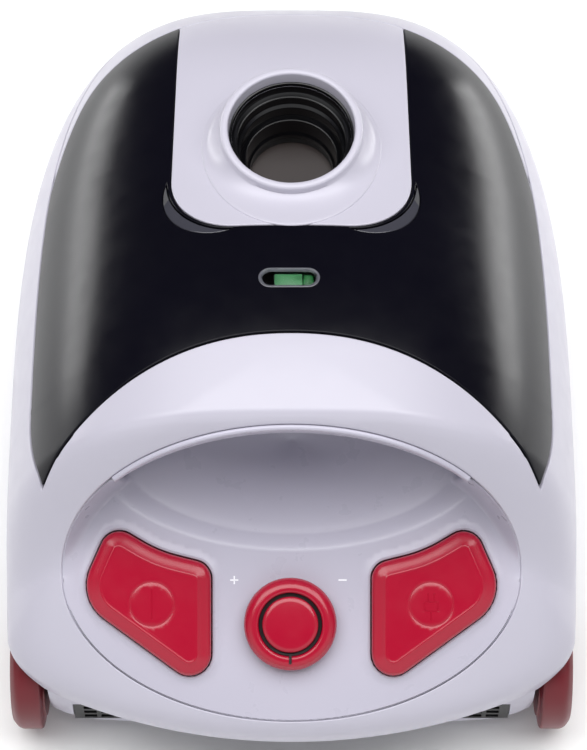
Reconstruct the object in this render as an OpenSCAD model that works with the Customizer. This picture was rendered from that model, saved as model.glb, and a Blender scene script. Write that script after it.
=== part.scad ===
// Compact bagged canister vacuum cleaner, seen as an assembly of separate pieces.
// Origin on the floor under the middle of the body, +Y to the hose inlet end, +Z up.

/* [Body] */
// Half of the body's greatest width, at the belt line
belt_half_w = 136; // [134:0.5:138]
// Front end of the belt line
belt_front_y = 189; // [187:0.5:191]
// Rear end of the belt line
belt_rear_y = -188.5; // [-190:0.5:-187]
// Height of the belt line, where the body is widest
belt_z = 62; // [60:0.5:64]
// Height of the crown line over the front of the bag cover
front_crown_z = 182; // [180:0.5:184]
// Height of the crown line over the carrying handle
arch_crown_z = 205; // [203:0.5:207]
// Height of the underside above the floor
base_z = 15; // [14:0.5:16]
// Wall thickness of the housings and the bag cover
wall = 2.6; // [2.2:0.1:2.8]
// Radius of the plan arc of the rear edge
rear_arc_r = 270; // [260:1:280]

/* [Bag cover] */
// Share of the half width that the cover's edge reaches
cover_rho = 0.885; // [0.88:0.001:0.889]
// Gap between the cover and the housing
cover_gap = 1.2; // [1.0:0.1:1.4]
// Radius of the arc where the cover meets the handle
arch_arc_r = 163; // [160:0.5:165]
// Front point of that arc
arch_arc_y = -51; // [-52:0.5:-50]

/* [Hose inlet] */
// Centre of the inlet along Y
inlet_y = 59; // [57:0.5:60]
// Top of the inlet collar
inlet_top_z = 199; // [198:0.5:200]
// Radius of the socket bore that takes the hose end
socket_r = 23.25; // [22.5:0.25:24]
// Height span of the socket bore: lower end
socket_low_z = 171; // [170:0.5:172]
// Height span of the socket bore: upper end
socket_high_z = 187; // [186:0.5:188]

/* [Control panel] */
// Tilt of the control panel towards the rear in degrees
panel_tilt = 27.5; // [27:0.25:28]
// Half width of the panel's ellipse
panel_a = 106.2; // [105:0.2:107]
// Half height of the panel's ellipse
panel_b = 69.1; // [68:0.2:70]
// Travel of the power and rewind buttons
button_travel = 3.5; // [2:0.1:3.5]
// Outer radius of the power dial
dial_r = 21.4; // [20:0.2:22]

/* [Wheels] */
// Radius of the rear wheels
wheel_r = 31; // [30:0.2:31.4]
// Width of the rear wheels
wheel_w = 17; // [16:0.5:17]
// Radius of the front caster wheel
caster_wheel_r = 16; // [15:0.2:16.4]

/* [Hidden] */

shoulder_pow = 2.6;
plan_pow = 3.35;
waist_y = -60;
spine_front_y = 55;
spine_rear_y = -56;
corner_y = -140;
corner_half_w = 133.6;
rear_arc_half_w = 106;
seam_z = 56;
rear_wall_y = -162;
floor_z = base_z + 3;
front_steps = 14;
side_steps = 8;
corner_steps = 5;
rear_steps = 6;
dome_angles = [0, 12, 24, 36, 48, 58, 64, 68, 72, 76, 80, 84, 87];
top_z = 230;
round_fn = 64;

panel_y = -120.6;
panel_z = 105;
panel_mid_v = -3;
panel_t = 3;
recess_mid_v = 39;
recess_a = 71.5;
recess_low_b = 35.4;
recess_high_b = 28;
dial_u = -0.5;
dial_v = -26.4;
spindle_r = 3;
fit_gap = 0.06;
stem_r = 4;
stem_u = 64;
stem_v = -20;
carrier_w = -18;

wheel_y = -138.8;
wheel_in_x = 117;
axle_r = 4;
caster_y = 112;
caster_trail = 14;
hinge_y = 160;
hinge_z = 126;
hinge_x = 46;
latch_y = -52;
latch_z = 160;
motor_x = -56;
motor_z = 69;
inlet_z = 74;
reel_x = 50;
reel_y = -86;
window_x = -1;
window_y = -22;

light_grey = [0.84, 0.84, 0.87];
red = [0.70, 0.08, 0.18];
dark_red = [0.52, 0.11, 0.15];
black = [0.07, 0.07, 0.09];
dark_grey = [0.28, 0.28, 0.30];

// ---------- functions for the body's surface ----------
function smooth(t) = let (c = min(max(t, 0), 1)) c * c * (3 - 2 * c);
function crown_z(y) = front_crown_z + (arch_crown_z - front_crown_z) * smooth((100 - y) / 160);
function tail_z(y) = 98 + 28 * smooth((y + 178) / 60);
function ridge_z(y) = tail_z(y) + (crown_z(y) - tail_z(y)) * smooth((y + 125) / 37);
function spine(y) = [0, min(max(y, spine_rear_y), spine_front_y)];
function toward_spine(p, share) = spine(p.y) + share * (p - spine(p.y));
function inset(p, d) = toward_spine(p, 1 - d / norm(p - spine(p.y)));
function rear_arc_point(x) = [x, belt_rear_y + rear_arc_r - sqrt(rear_arc_r * rear_arc_r - x * x)];
function mirrored(half) = concat(half, [for (i = [len(half) - 2:-1:1]) [-half[i].x, half[i].y]]);

front_half = [for (i = [0:front_steps])
  let (a = 90 * (1 - i / front_steps))
  [belt_half_w * pow(cos(a), 2 / plan_pow), waist_y + (belt_front_y - waist_y) * pow(sin(a), 2 / plan_pow)]];
side_half = [for (i = [1:side_steps])
  let (t = i / side_steps)
  [belt_half_w - (belt_half_w - corner_half_w) * t * t, waist_y + (corner_y - waist_y) * t]];
corner_start = [corner_half_w, corner_y];
corner_end = rear_arc_point(rear_arc_half_w);
corner_tip = [corner_half_w - 1, corner_end.y + (corner_half_w - 1 - rear_arc_half_w) * 0.427];
corner_half = [for (i = [1:corner_steps])
  let (t = i / corner_steps)
  (1 - t) * (1 - t) * corner_start + 2 * t * (1 - t) * corner_tip + t * t * corner_end];
rear_half = [for (i = [1:rear_steps]) rear_arc_point(rear_arc_half_w * (1 - i / rear_steps))];
belt = mirrored(concat(front_half, side_half, corner_half, rear_half));

function flat_ring(z, d) = [for (p = belt) let (q = inset(p, d)) [q.x, q.y, z]];
function dome_ring(angle, d) = [for (p = belt)
  let (q = toward_spine(inset(p, d), pow(cos(angle), 2 / shoulder_pow)))
  [q.x, q.y, belt_z + (ridge_z(q.y) - d - belt_z) * sin(angle)]];

// Closed solid through rings of equal length, listed from the bottom up and clockwise seen from above.
module skin(rings, paired_top = false) {
  n = len(rings[0]);
  last = (len(rings) - 1) * n;
  sides = [for (k = [0:len(rings) - 2]) for (i = [0:n - 1])
    let (a = k * n + i, b = k * n + (i + 1) % n)
    for (f = [[a, b, b + n], [a, b + n, a + n]]) f];
  bottom = [[for (i = [n - 1:-1:0]) i]];
  top = paired_top
    ? concat([[last, last + 1, last + n - 1]],
        [for (i = [1:n / 2 - 2]) [last + i, last + i + 1, last + n - i - 1, last + n - i]],
        [[last + n / 2 - 1, last + n / 2, last + n / 2 + 1]])
    : [[for (i = [0:n - 1]) last + i]];
  polyhedron(points = [for (r = rings) for (p = r) p], faces = concat(sides, bottom, top));
}

// Solid of the upper body, shrunk by d.
module dome(d) {
  skin(concat([flat_ring(seam_z - d, d + 0.2)], [for (a = dome_angles) dome_ring(a, d)]), true);
}

// Solid of the lower body, shrunk by d.
module pan(d) {
  skin([
    flat_ring(base_z + (d > 0 ? 3 : 0), 16 + d), flat_ring(base_z + 4 + d * 0.4, 8 + d),
    flat_ring(base_z + 12, 3.5 + d), flat_ring(40, 1.2 + d), flat_ring(seam_z - 0.4 + d, 0.2 + d)
  ]);
}

// Upright prism over the body's outline drawn in to a share of its half width.
module plan_prism(share, low, high, grow = 0) {
  translate([0, 0, low])
    linear_extrude(high - low)
      polygon([for (p = belt) let (q = toward_spine(p, share)) q + grow * (q - spine(q.y)) / norm(q - spine(q.y))]);
}

module block(low, high) {
  translate(low) cube(high - low);
}

module both_sides() {
  children();
  mirror([1, 0, 0]) children();
}

// Cylinder along +X from x0 to x1.
module rod_x(x0, x1, y, z, r) {
  translate([x0, y, z]) rotate([0, 90, 0]) cylinder(h = x1 - x0, r = r, $fn = round_fn);
}

// Cylinder along -Y, from y1 back to y0.
module rod_y(y0, y1, x, z, r) {
  translate([x, y1, z]) rotate([90, 0, 0]) cylinder(h = y1 - y0, r = r, $fn = round_fn);
}

module upright(z0, z1, x, y, r) {
  translate([x, y, z0]) cylinder(h = z1 - z0, r = r, $fn = round_fn);
}

// Upright tube.
module tube(z0, z1, x, y, r_out, r_in) {
  difference() {
    upright(z0, z1, x, y, r_out);
    upright(z0 - 1, z1 + 1, x, y, r_in);
  }
}

module tube_y(y0, y1, x, z, r_out, r_in) {
  difference() {
    rod_y(y0, y1, x, z, r_out);
    rod_y(y0 - 1, y1 + 1, x, z, r_in);
  }
}

// ---------- rounded outlines ----------
function unit(v) = v / norm(v);
function turn(p, v, q) = (v.x - p.x) * (q.y - v.y) - (v.y - p.y) * (q.x - v.x) > 0 ? 1 : -1;
function half_angle(p, v, q) = acos(min(1, unit(p - v) * unit(q - v))) / 2;
function corner_arc(p, v, q, r, steps) =
  let (h = half_angle(p, v, q), c = v + unit(unit(p - v) + unit(q - v)) * r / sin(h),
    a = v + unit(p - v) * r / tan(h) - c, b = v + unit(q - v) * r / tan(h) - c,
    a0 = atan2(a.y, a.x), sweep = (atan2(b.y, b.x) - a0 + 540) % 360 - 180)
  [for (i = [0:steps]) c + r * [cos(a0 + sweep * i / steps), sin(a0 + sweep * i / steps)]];
// Outline from corners [x, y, radius], counter-clockwise, drawn in by d.
function rounded(corners, d = 0, steps = 6) =
  let (n = len(corners), v = [for (c = corners) [c.x, c.y]],
    moved = [for (i = [0:n - 1])
      let (p = v[(i + n - 1) % n], q = v[(i + 1) % n], h = half_angle(p, v[i], q))
      v[i] + turn(p, v[i], q) * unit(unit(p - v[i]) + unit(q - v[i])) * d / sin(h)])
  [for (i = [0:n - 1])
    let (p = v[(i + n - 1) % n], q = v[(i + 1) % n])
    for (s = corner_arc(moved[(i + n - 1) % n], moved[i], moved[(i + 1) % n],
        max(corners[i][2] - turn(p, v[i], q) * d, 0.5), steps)) s];

// ---------- regions of the upper surface ----------
module cover_region(grow) {
  difference() {
    plan_prism(cover_rho, 90, top_z, grow);
    upright(80, top_z + 1, 0, arch_arc_y - arch_arc_r, arch_arc_r - grow);
    both_sides() difference() {
      block([60, -140, 80], [150, waist_y, top_z + 1]);
      upright(70, top_z + 2, 20, waist_y, cover_rho * belt_half_w - 20 + grow);
    }
  }
}

module inlet_region(grow, low = 90) {
  translate([0, 0, low])
    linear_extrude(top_z - low)
      polygon(rounded([[-56.2, 9, 30], [56.2, 9, 30], [54, 200, 5], [-54, 200, 5]], -grow, 8));
}

crescent_hub = [26.2, 39];
crescent_shift = 9.7;
module crescent(grow, z0, z1) {
  difference() {
    upright(z0, z1, crescent_hub.x + crescent_shift, crescent_hub.y - crescent_shift, 23.8 + grow);
    upright(z0 - 1, z1 + 1, crescent_hub.x, crescent_hub.y, 31.5 - grow);
  }
}

module window_slot(grow, z0, z1) {
  hull_x = 8.4;
  block([window_x - hull_x, window_y - 5 - grow, z0], [window_x + hull_x, window_y + 5 + grow, z1]);
  for (s = [-1, 1]) upright(z0, z1, window_x + s * hull_x, window_y, 5 + grow);
}

module tilted() {
  translate([0, panel_y, panel_z]) rotate([panel_tilt, 0, 0]) children();
}

module panel_ellipse(grow, w0, w1) {
  translate([0, panel_mid_v, w0])
    linear_extrude(w1 - w0)
      polygon([for (i = [0:71]) [(panel_a + grow) * cos(i * 5), (panel_b + grow) * sin(i * 5)]]);
}

function recess_ring(share, w, grow) = [for (i = [47:-1:0])
  let (a = i * 7.5, b = sin(a) > 0 ? recess_high_b : recess_low_b)
  [(recess_a * share + grow) * cos(a), recess_mid_v + (b * share + grow) * sin(a), w]];

module recess_bowl(grow) {
  skin([
    recess_ring(0.25, -22 - grow, grow), recess_ring(0.55, -20.5 - grow, grow), recess_ring(0.8, -15 - grow, grow),
    recess_ring(0.94, -7, grow), recess_ring(1, grow > 0 ? 0 : 1, grow)
  ]);
}

button_corners = [[-37, 0.8, 5], [-61, 6.8, 60], [-83.5, 20, 7], [-99, -15, 15], [-37, -60, 10]];
function reversed(list) = [for (i = [len(list) - 1:-1:0]) list[i]];
function button_ring(d, w) = [for (p = reversed(rounded(button_corners, d))) [p.x, p.y, w]];

// ---------- housings ----------
module wheel_wells(r, x0, x1) {
  both_sides() rod_x(x0, x1, wheel_y, wheel_r, r);
}

module lower_housing() color(light_grey) {
  well_r = wheel_r + 3;
  difference() {
    union() {
      difference() {
        pan(0);
        pan(wall);
        block([-140, -200, 0], [140, rear_wall_y, 80]);
      }
      intersection() {
        pan(wall);
        block([-140, rear_wall_y, 0], [140, rear_wall_y + 2.4, seam_z - 0.4]);
      }
      intersection() {
        pan(wall);
        wheel_wells(well_r + 2.4, wheel_in_x - 5, 132);
        block([-140, rear_wall_y, 0], [140, -90, seam_z - 0.4]);
      }
      upright(floor_z, 52, 0, caster_y, 36);
      for (s = [-1, 1]) block([s * 80 - 5, 20, floor_z - 0.5], [s * 80 + 5, 24, 52.8]);
    }
    wheel_wells(well_r, wheel_in_x - 2.5, 150);
    upright(0, 49.5, 0, caster_y, 33.5);
    block([-104, -170, floor_z + 1], [104, -155, 37]);
    rod_y(-170, -150, 84, 47, 6.1);
    block([-140, -200, seam_z - 0.4], [140, 200, 90]);
  }
}

module upper_housing() color(light_grey) {
  difference() {
    union() {
      difference() {
        dome(0);
        dome(wall);
      }
      intersection() {
        dome(wall);
        difference() {
          block([-140, -200, seam_z + 0.2], [140, rear_wall_y + 3, seam_z + 2.6]);
          block([-128, rear_wall_y, 0], [128, rear_wall_y + 4, 80]);
        }
      }
    }
    cover_region(cover_gap);
    tilted() panel_ellipse(0, -6, 160);
    wheel_wells(wheel_r + 3, wheel_in_x - 2.5, 150);
  }
}

liner_half = 74;
module handle_liner() color(light_grey) {
  intersection() {
    dome(wall + 0.3);
    difference() {
      liner_walls();
      tilted() recess_bowl(2.7);
    }
  }
}

module liner_walls() {
  side_profile(-liner_half, liner_half)
    polygon([[-90.5, 193.5], [-78, 190.5], [-67, 183], [-61, 170], [-60.2, 134], [-57.8, 134], [-58.4, 171],
      [-65, 185.2], [-76.5, 193], [-89.5, 196.2]]);
  both_sides() side_profile(liner_half - 2, liner_half)
    polygon([[-60, 130], [-80, 126], [-96, 160], [-92, 196], [-60, 200]]);
  difference() {
    tilted() difference() {
      panel_ellipse(2.4, -2.6, 120);
      panel_ellipse(0.2, -10, 130);
    }
    block([-liner_half + 1, -200, 0], [liner_half - 1, 0, top_z]);
    block([-140, -220, 0], [140, -114, top_z]);
  }
  tilted() difference() {
    block([-liner_half, 40, -2.4], [liner_half, 69.5, -0.2]);
    panel_ellipse(0, -10, 10);
  }
}

module latch_catch() color(dark_grey) {
  block([-14, -58, 187.6], [14, -52.4, 203]);
}

module control_panel() color(light_grey) {
  tilted() difference() {
    union() {
      panel_ellipse(-0.5, -panel_t, 0);
      recess_bowl(2.6);
    }
    recess_bowl(0);
    both_sides() translate([0, 0, -10]) linear_extrude(20) polygon(rounded(button_corners, -0.6));
    translate([dial_u, dial_v, -10]) cylinder(h = 20, r = spindle_r + 0.5, $fn = round_fn);
  }
}

// ---------- bag side ----------
function chamber_outline(share) = concat(
  [for (p = belt) let (q = toward_spine(p, share)) if (q.y > 4 && p.x >= 0) q],
  [[share * belt_half_w * 0.985, 0], [-share * belt_half_w * 0.985, 0]],
  [for (p = belt) let (q = toward_spine(p, share)) if (q.y > 4 && p.x < 0) q]);

module bag_chamber() color(dark_grey) {
  difference() {
    translate([0, -2.4, 53]) linear_extrude(65) polygon(chamber_outline(0.76));
    translate([0, 0, 55.4]) linear_extrude(80) polygon(chamber_outline(0.74));
    rod_y(-10, 0.5, motor_x, inlet_z, 18);
  }
}

module filter_grid() color(black) {
  tube_y(-4.8, -2.6, motor_x, inlet_z, 23, 17.8);
  for (i = [0:3]) translate([motor_x, -3.7, inlet_z]) rotate([90, 0, 0]) rotate([0, 0, i * 45])
    cube([36.4, 1.8, 1.9], center = true);
}

module motor_filter() color([0.35, 0.35, 0.38]) {
  rod_y(-11.5, -5.2, motor_x, inlet_z, 22.5);
}

module fan_housing() color(dark_grey) {
  difference() {
    rod_y(-50, -14, motor_x, motor_z, 46);
    rod_y(-47.5, -17, motor_x, motor_z, 43.5);
    rod_y(-60, -40, motor_x, motor_z, 24);
    rod_y(-30, 0, motor_x, motor_z, 20);
  }
}

module impeller() color([0.7, 0.7, 0.72]) {
  difference() {
    rod_y(-44, -42.5, motor_x, motor_z, 41);
    rod_y(-50, -20, motor_x, motor_z, 4.1);
  }
  difference() {
    rod_y(-27, -25.5, motor_x, motor_z, 41);
    rod_y(-50, -20, motor_x, motor_z, 20);
  }
  for (i = [0:6]) translate([motor_x, -34.75, motor_z]) rotate([0, i * 360 / 7, 0])
    translate([29, 0, 0]) rotate([0, 35, 0]) cube([22, 15.5, 1.6], center = true);
}

module motor_can() color([0.62, 0.62, 0.64]) {
  difference() {
    rod_y(-106, -50.2, motor_x, motor_z, 30);
    rod_y(-104, -49, motor_x, motor_z, 28);
    rod_y(-120, -90, motor_x, motor_z, 5);
  }
}

module motor_stator() color([0.45, 0.28, 0.16]) {
  tube_y(-92, -62, motor_x, motor_z, 27.8, 17);
}

module motor_rotor() color([0.55, 0.42, 0.25]) {
  rod_y(-110, -22, motor_x, motor_z, 4);
  difference() {
    rod_y(-96, -58, motor_x, motor_z, 16);
    rod_y(-120, -20, motor_x, motor_z, 4);
  }
}

module motor_front_seal() color(black) {
  tube_y(-13.8, -5.4, motor_x, motor_z, 44, 29.5);
}

module motor_rear_mount() color(black) {
  difference() {
    rod_y(-112, -106.2, motor_x, motor_z, 20);
    rod_y(-130, -100, motor_x, motor_z, 8);
  }
}

// ---------- cord reel ----------
module reel_drum() color([0.2, 0.2, 0.22]) {
  translate([reel_x, reel_y, 0]) rotate_extrude($fn = 96)
    polygon([[5.1, 22], [54, 22], [54, 24], [24, 24], [24, 50], [54, 50], [54, 52], [5.1, 52]]);
}

module reel_post() color([0.6, 0.6, 0.62]) {
  upright(floor_z, 58, reel_x, reel_y, 5);
}

module reel_spring_case() color(dark_grey) {
  difference() {
    upright(53, 57, reel_x, reel_y, 22);
    upright(50, 60, reel_x, reel_y, 5.1);
  }
}

brake_x = 86;
brake_y = -132.3;
brake_pivot_x = 50;
module reel_brake_lever() color(dark_grey) {
  difference() {
    union() {
      block([brake_pivot_x - 4, brake_y - 4, 59], [brake_x + 4, brake_y + 4, 62]);
      upright(59, 66, brake_pivot_x, brake_y, 6);
      upright(37.4, 62, brake_x, brake_y, 3);
    }
    upright(50, 70, brake_pivot_x, brake_y, 2.56);
  }
}

module brake_roller() color(black) {
  tube(38, 46, brake_x, brake_y, 5.6, 3.06);
}

module cord_outlet_bush() color(black) {
  difference() {
    union() {
      rod_y(-166, -157, 84, 47, 6);
      rod_y(-166.5, -162.2, 84, 47, 8.5);
    }
    rod_y(-170, -150, 84, 47, 4);
  }
}

// ---------- exhaust and parking ----------
module exhaust_filter() color([0.86, 0.86, 0.84]) {
  block([-100, -157.5, floor_z + 1.5], [100, -149, 36.5]);
}

module exhaust_grille() color(black) {
  difference() {
    block([-103.7, -162, floor_z + 1.3], [103.7, -160, 36.7]);
    for (i = [-12:12]) for (k = [0:2]) block([i * 8 - 3, -163, 21 + k * 5], [i * 8 + 3, -159, 24 + k * 5]);
  }
}

module parking_bracket() color(light_grey) {
  difference() {
    block([-16, -170.5, 11.5], [16, -162.2, 26]);
    block([-5, -175, 5], [5, -164.4, 30]);
    block([-13.5, -180, 18], [13.5, -169, 22]);
  }
}

// ---------- controls ----------
module button_carrier() color(dark_grey) {
  tilted() {
    both_sides() difference() {
      block([-92, -44, carrier_w], [-40, -2, carrier_w + 2]);
      translate([-stem_u, stem_v, carrier_w - 1]) cylinder(h = 4, r = stem_r + fit_gap, $fn = round_fn);
    }
    block([-40, -42, carrier_w], [40, -36, carrier_w + 2]);
  }
}

module button_body() {
  skin([button_ring(0, -5), button_ring(0, 3.5), button_ring(2, 5.8), button_ring(6, 7)]);
  translate([-stem_u, stem_v, -24]) cylinder(h = 19, r = stem_r, $fn = round_fn);
}

module power_button() color(red) {
  tilted() button_body();
}

module rewind_button() color(red) {
  tilted() mirror([1, 0, 0]) button_body();
}

module button_spring() {
  translate([-stem_u, stem_v, 0]) difference() {
    translate([0, 0, carrier_w + 2.1]) cylinder(h = 10.7, r = 7, $fn = round_fn);
    translate([0, 0, carrier_w]) cylinder(h = 20, r = 5.4, $fn = round_fn);
  }
}

module power_button_spring() color([0.7, 0.7, 0.72]) {
  tilted() button_spring();
}

module rewind_button_spring() color([0.7, 0.7, 0.72]) {
  tilted() mirror([1, 0, 0]) button_spring();
}

module main_switch() color(black) {
  tilted() block([-stem_u - 10, stem_v - 8, -40], [-stem_u + 10, stem_v + 8, -27.8]);
}

module speed_control() color([0.1, 0.35, 0.2]) {
  tilted() difference() {
    union() {
      block([dial_u - 24, dial_v - 14, -15.2], [dial_u + 24, dial_v + 14, -13.2]);
      translate([dial_u, dial_v, -13.2]) cylinder(h = 4, r = 9, $fn = round_fn);
    }
    translate([dial_u, dial_v, -30]) cylinder(h = 40, r = spindle_r + fit_gap, $fn = round_fn);
  }
}

module dial_ring() color(red) {
  tilted() translate([dial_u, dial_v, 0]) difference() {
    rotate_extrude($fn = 96)
      polygon([[spindle_r, 0.6], [dial_r, 0.6], [dial_r, 5], [dial_r - 1.2, 8], [dial_r - 3.4, 9.4], [dial_r - 5, 9.4],
        [14.7, 8.4], [14.7, 3], [spindle_r, 3]]);
    translate([0, -18.2, 9]) cube([1.4, 4, 2], center = true);
  }
}

module dial_cap() color(red) {
  tilted() translate([dial_u, dial_v, 0]) rotate_extrude($fn = 96)
    polygon([[0, 3.1], [12.8, 3.1], [12.8, 8.2], [12, 8.9], [0, 9.2]]);
}

module dial_spindle() color([0.6, 0.6, 0.62]) {
  tilted() translate([dial_u, dial_v, -14]) cylinder(h = 17, r = spindle_r, $fn = round_fn);
}

// ---------- wheels ----------
module rear_axles() color([0.65, 0.65, 0.67]) {
  both_sides() rod_x(106, wheel_in_x + wheel_w - 5, wheel_y, wheel_r, axle_r);
}

module rear_wheel() {
  r = wheel_r;
  translate([wheel_in_x, wheel_y, r]) rotate([0, 90, 0]) rotate_extrude($fn = 96)
    polygon([[axle_r + fit_gap, 0], [12, 0], [12, 5], [r - 6, 5], [r - 6, 0.5], [r - 1.5, 0.5], [r, 2], [r, wheel_w - 3],
      [r - 2.5, wheel_w - 0.6], [r - 6, wheel_w], [r - 9, wheel_w - 2.5], [12, wheel_w - 2.5], [12, wheel_w - 5],
      [axle_r + fit_gap, wheel_w - 5]]);
}

module rear_wheel_right() color(dark_red) rear_wheel();
module rear_wheel_left() color(dark_red) mirror([1, 0, 0]) rear_wheel();

module hub_cap() {
  translate([wheel_in_x + wheel_w - 4.6, wheel_y, wheel_r]) rotate([0, 90, 0]) rotate_extrude($fn = 64)
    polygon([[0, 0], [11.6, 0], [11.6, 2.6], [9, 3.8], [0, 4.3]]);
}

module hub_cap_right() color(dark_red) hub_cap();
module hub_cap_left() color(dark_red) mirror([1, 0, 0]) hub_cap();

module caster_socket() color(dark_grey) {
  tube(39.5, 49.4, 0, caster_y, 9, 4 + fit_gap);
}

module caster_fork() color(dark_grey) {
  upright(34, 37.5, 0, caster_y, 15);
  upright(37.5, 48.5, 0, caster_y, 4);
  difference() {
    both_sides() block([8.4, caster_y - caster_trail - 6, 11], [11, caster_y + 6, 34.2]);
    rod_x(-20, 20, caster_y - caster_trail, caster_wheel_r, 2);
  }
}

module caster_axle() color([0.65, 0.65, 0.67]) {
  rod_x(-11, 11, caster_y - caster_trail, caster_wheel_r, 2);
}

module caster_wheel() color(black) {
  r = caster_wheel_r;
  translate([-7, caster_y - caster_trail, r]) rotate([0, 90, 0]) rotate_extrude($fn = 80)
    polygon([[2 + fit_gap, 0], [r - 2, 0], [r, 2], [r, 12], [r - 2, 14], [2 + fit_gap, 14]]);
}

// ---------- bag cover ----------
collar_flare = [[33, 196.5], [33.6, 192], [35.5, 187.5], [39, 183], [43, 179], [47, 175.5], [47, 168]];
module collar_core(high = 220) {
  translate([0, inlet_y, 0]) rotate_extrude($fn = 96)
    polygon(concat([[0, 168], [0, high]], [[33, high]], collar_flare));
}

module hood() color(black) {
  difference() {
    intersection() {
      dome(0);
      cover_region(0);
    }
    dome(wall);
    inlet_region(0.4);
    both_sides() crescent(0, 150, 220);
    window_slot(0, 180, 220);
  }
}

module inlet_panel() color(light_grey) {
  difference() {
    intersection() {
      dome(0);
      cover_region(0);
      inlet_region(0);
    }
    dome(wall);
    collar_core();
  }
}

module inlet_collar() color(light_grey) {
  translate([0, inlet_y, 0]) rotate_extrude($fn = 96)
    polygon(concat([[31, inlet_top_z], [32.4, inlet_top_z - 0.6]], collar_flare,
      [[44.4, 168], [44.4, 173.6], [26, 180], [26, 168.6], [22, 168.6], [22, 157.6], [19.6, 157.6],
        [19.6, socket_low_z],
        [socket_r, socket_low_z], [socket_r, socket_high_z], [27.75, socket_high_z], [27.75, 191], [29.3, 191],
        [29.3, inlet_top_z - 0.5]]));
}

module inlet_seal() color(black) {
  tube(153.6, 157.4, 0, inlet_y, 24, 19.8);
}

module inlet_flap() color([0.42, 0.37, 0.33]) {
  upright(151.6, 153.2, 0, inlet_y, 21.4);
}

module cover_frame() color(dark_grey) {
  intersection() {
    dome(wall + 0.05);
    difference() {
      translate([0, -6, 122]) linear_extrude(80) polygon(chamber_outline(0.765));
      translate([0, -1, 100]) linear_extrude(120) polygon(chamber_outline(0.735));
      both_sides() block([34, -20, 163], [48, 10, 179]);
    }
  }
}

module cover_gasket() color(black) {
  difference() {
    translate([0, -4, 118.4]) linear_extrude(3.4) polygon(chamber_outline(0.762));
    translate([0, 0, 110]) linear_extrude(20) polygon(chamber_outline(0.738));
  }
}

module side_profile(x0, x1) {
  translate([x0, 0, 0]) rotate([90, 0, 90]) linear_extrude(x1 - x0) children();
}

module cover_hinge_arms() color(light_grey) {
  both_sides() difference() {
    union() {
      rod_x(hinge_x - 2.7, hinge_x + 2.7, hinge_y, hinge_z, 4.2);
      side_profile(hinge_x - 2.7, hinge_x + 2.7)
        polygon([[156.5, 122.8], [162.5, 129.5], [151.5, 145.5], [143, 152.5], [143, 133]]);
    }
    rod_x(0, 80, hinge_y, hinge_z, 2 + fit_gap);
  }
}

module hinge_brackets() color(light_grey) {
  both_sides() for (x = [hinge_x - 6, hinge_x + 3]) difference() {
    union() {
      rod_x(x, x + 3, hinge_y, hinge_z, 3.7);
      side_profile(x, x + 3)
        polygon([[156.3, 126], [155, 118], [155, 84], [181.6, 84], [179.8, 96], [158, 103], [157.8, 112],
          [159.5, 119], [163.7, 126]]);
    }
    rod_x(0, 80, hinge_y, hinge_z, 2);
  }
}

module hinge_pins() color([0.65, 0.65, 0.67]) {
  both_sides() rod_x(hinge_x - 6, hinge_x + 6, hinge_y, hinge_z, 2);
}

module window_lens() color([0.75, 0.85, 0.78, 0.5]) {
  window_slot(-0.2, 199.6, 201.2);
}

module indicator_flag() color([0.25, 0.55, 0.30]) {
  block([window_x - 7, window_y - 4.2, 196], [window_x + 3, window_y + 4.2, 199]);
}

module latch_bracket() color(dark_grey) {
  both_sides() {
    side_profile(46.6, 49) polygon([[-55.5, 156], [-40, 156], [-36, 197.4], [-46, 197.4]]);
    rod_x(41, 46.6, latch_y, latch_z, 2);
  }
}

module latch_lever() color(dark_grey) {
  both_sides() {
    difference() {
      union() {
        block([41.4, -56, 156], [44.6, -46, 176]);
        block([38, -46, 172], [44.6, 16, 176]);
      }
      rod_x(30, 60, latch_y, latch_z, 2 + fit_gap);
    }
    crescent(-0.6, 172, 183.6);
  }
  block([-44.6, -50, 172], [44.6, -46, 176]);
  block([-10, -50, 176], [10, -46.8, 187]);
  block([-10, -54.3, 184], [10, -46.8, 187]);
}

// ---------- dust bag ----------
module bag_holder() color([0.25, 0.45, 0.62]) {
  difference() {
    block([-46, 14, 146], [46, 104, 148.4]);
    upright(140, 160, 0, inlet_y, 21.8);
  }
}

bag_levels = [[58, 0.62], [64, 0.78], [84, 0.9], [110, 0.92], [130, 0.8], [142, 0.55], [145.6, 0.4]];
module dust_bag() color([0.80, 0.74, 0.62]) {
  skin([for (l = bag_levels) [for (i = [31:-1:0])
    let (a = i * 11.25, c = cos(a), s = sin(a))
    [92 * l[1] * sign(c) * pow(abs(c), 0.6), 76 + 70 * l[1] * sign(s) * pow(abs(s), 0.6), l[0]]]]);
}

module housing_screws() color([0.6, 0.6, 0.62]) {
  for (p = [[-70, 150], [70, 150], [-110, -70], [110, -70]]) {
    upright(base_z + 0.6, base_z + 2.6, p.x, p.y, 3.6);
    upright(base_z + 2.6, base_z + 16, p.x, p.y, 1.9);
  }
}

lower_housing();
upper_housing();
handle_liner();
latch_catch();
control_panel();
bag_chamber();
filter_grid();
motor_filter();
fan_housing();
impeller();
motor_can();
motor_stator();
motor_rotor();
motor_front_seal();
motor_rear_mount();
reel_drum();
reel_post();
reel_spring_case();
reel_brake_lever();
brake_roller();
cord_outlet_bush();
exhaust_filter();
exhaust_grille();
parking_bracket();
button_carrier();
power_button();
power_button_spring();
rewind_button();
rewind_button_spring();
main_switch();
speed_control();
dial_ring();
dial_cap();
dial_spindle();
rear_axles();
rear_wheel_left();
rear_wheel_right();
hub_cap_left();
hub_cap_right();
caster_socket();
caster_fork();
caster_axle();
caster_wheel();
hood();
inlet_panel();
inlet_collar();
inlet_seal();
inlet_flap();
cover_frame();
cover_gasket();
cover_hinge_arms();
hinge_brackets();
hinge_pins();
window_lens();
indicator_flag();
latch_bracket();
latch_lever();
bag_holder();
dust_bag();
housing_screws();
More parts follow.
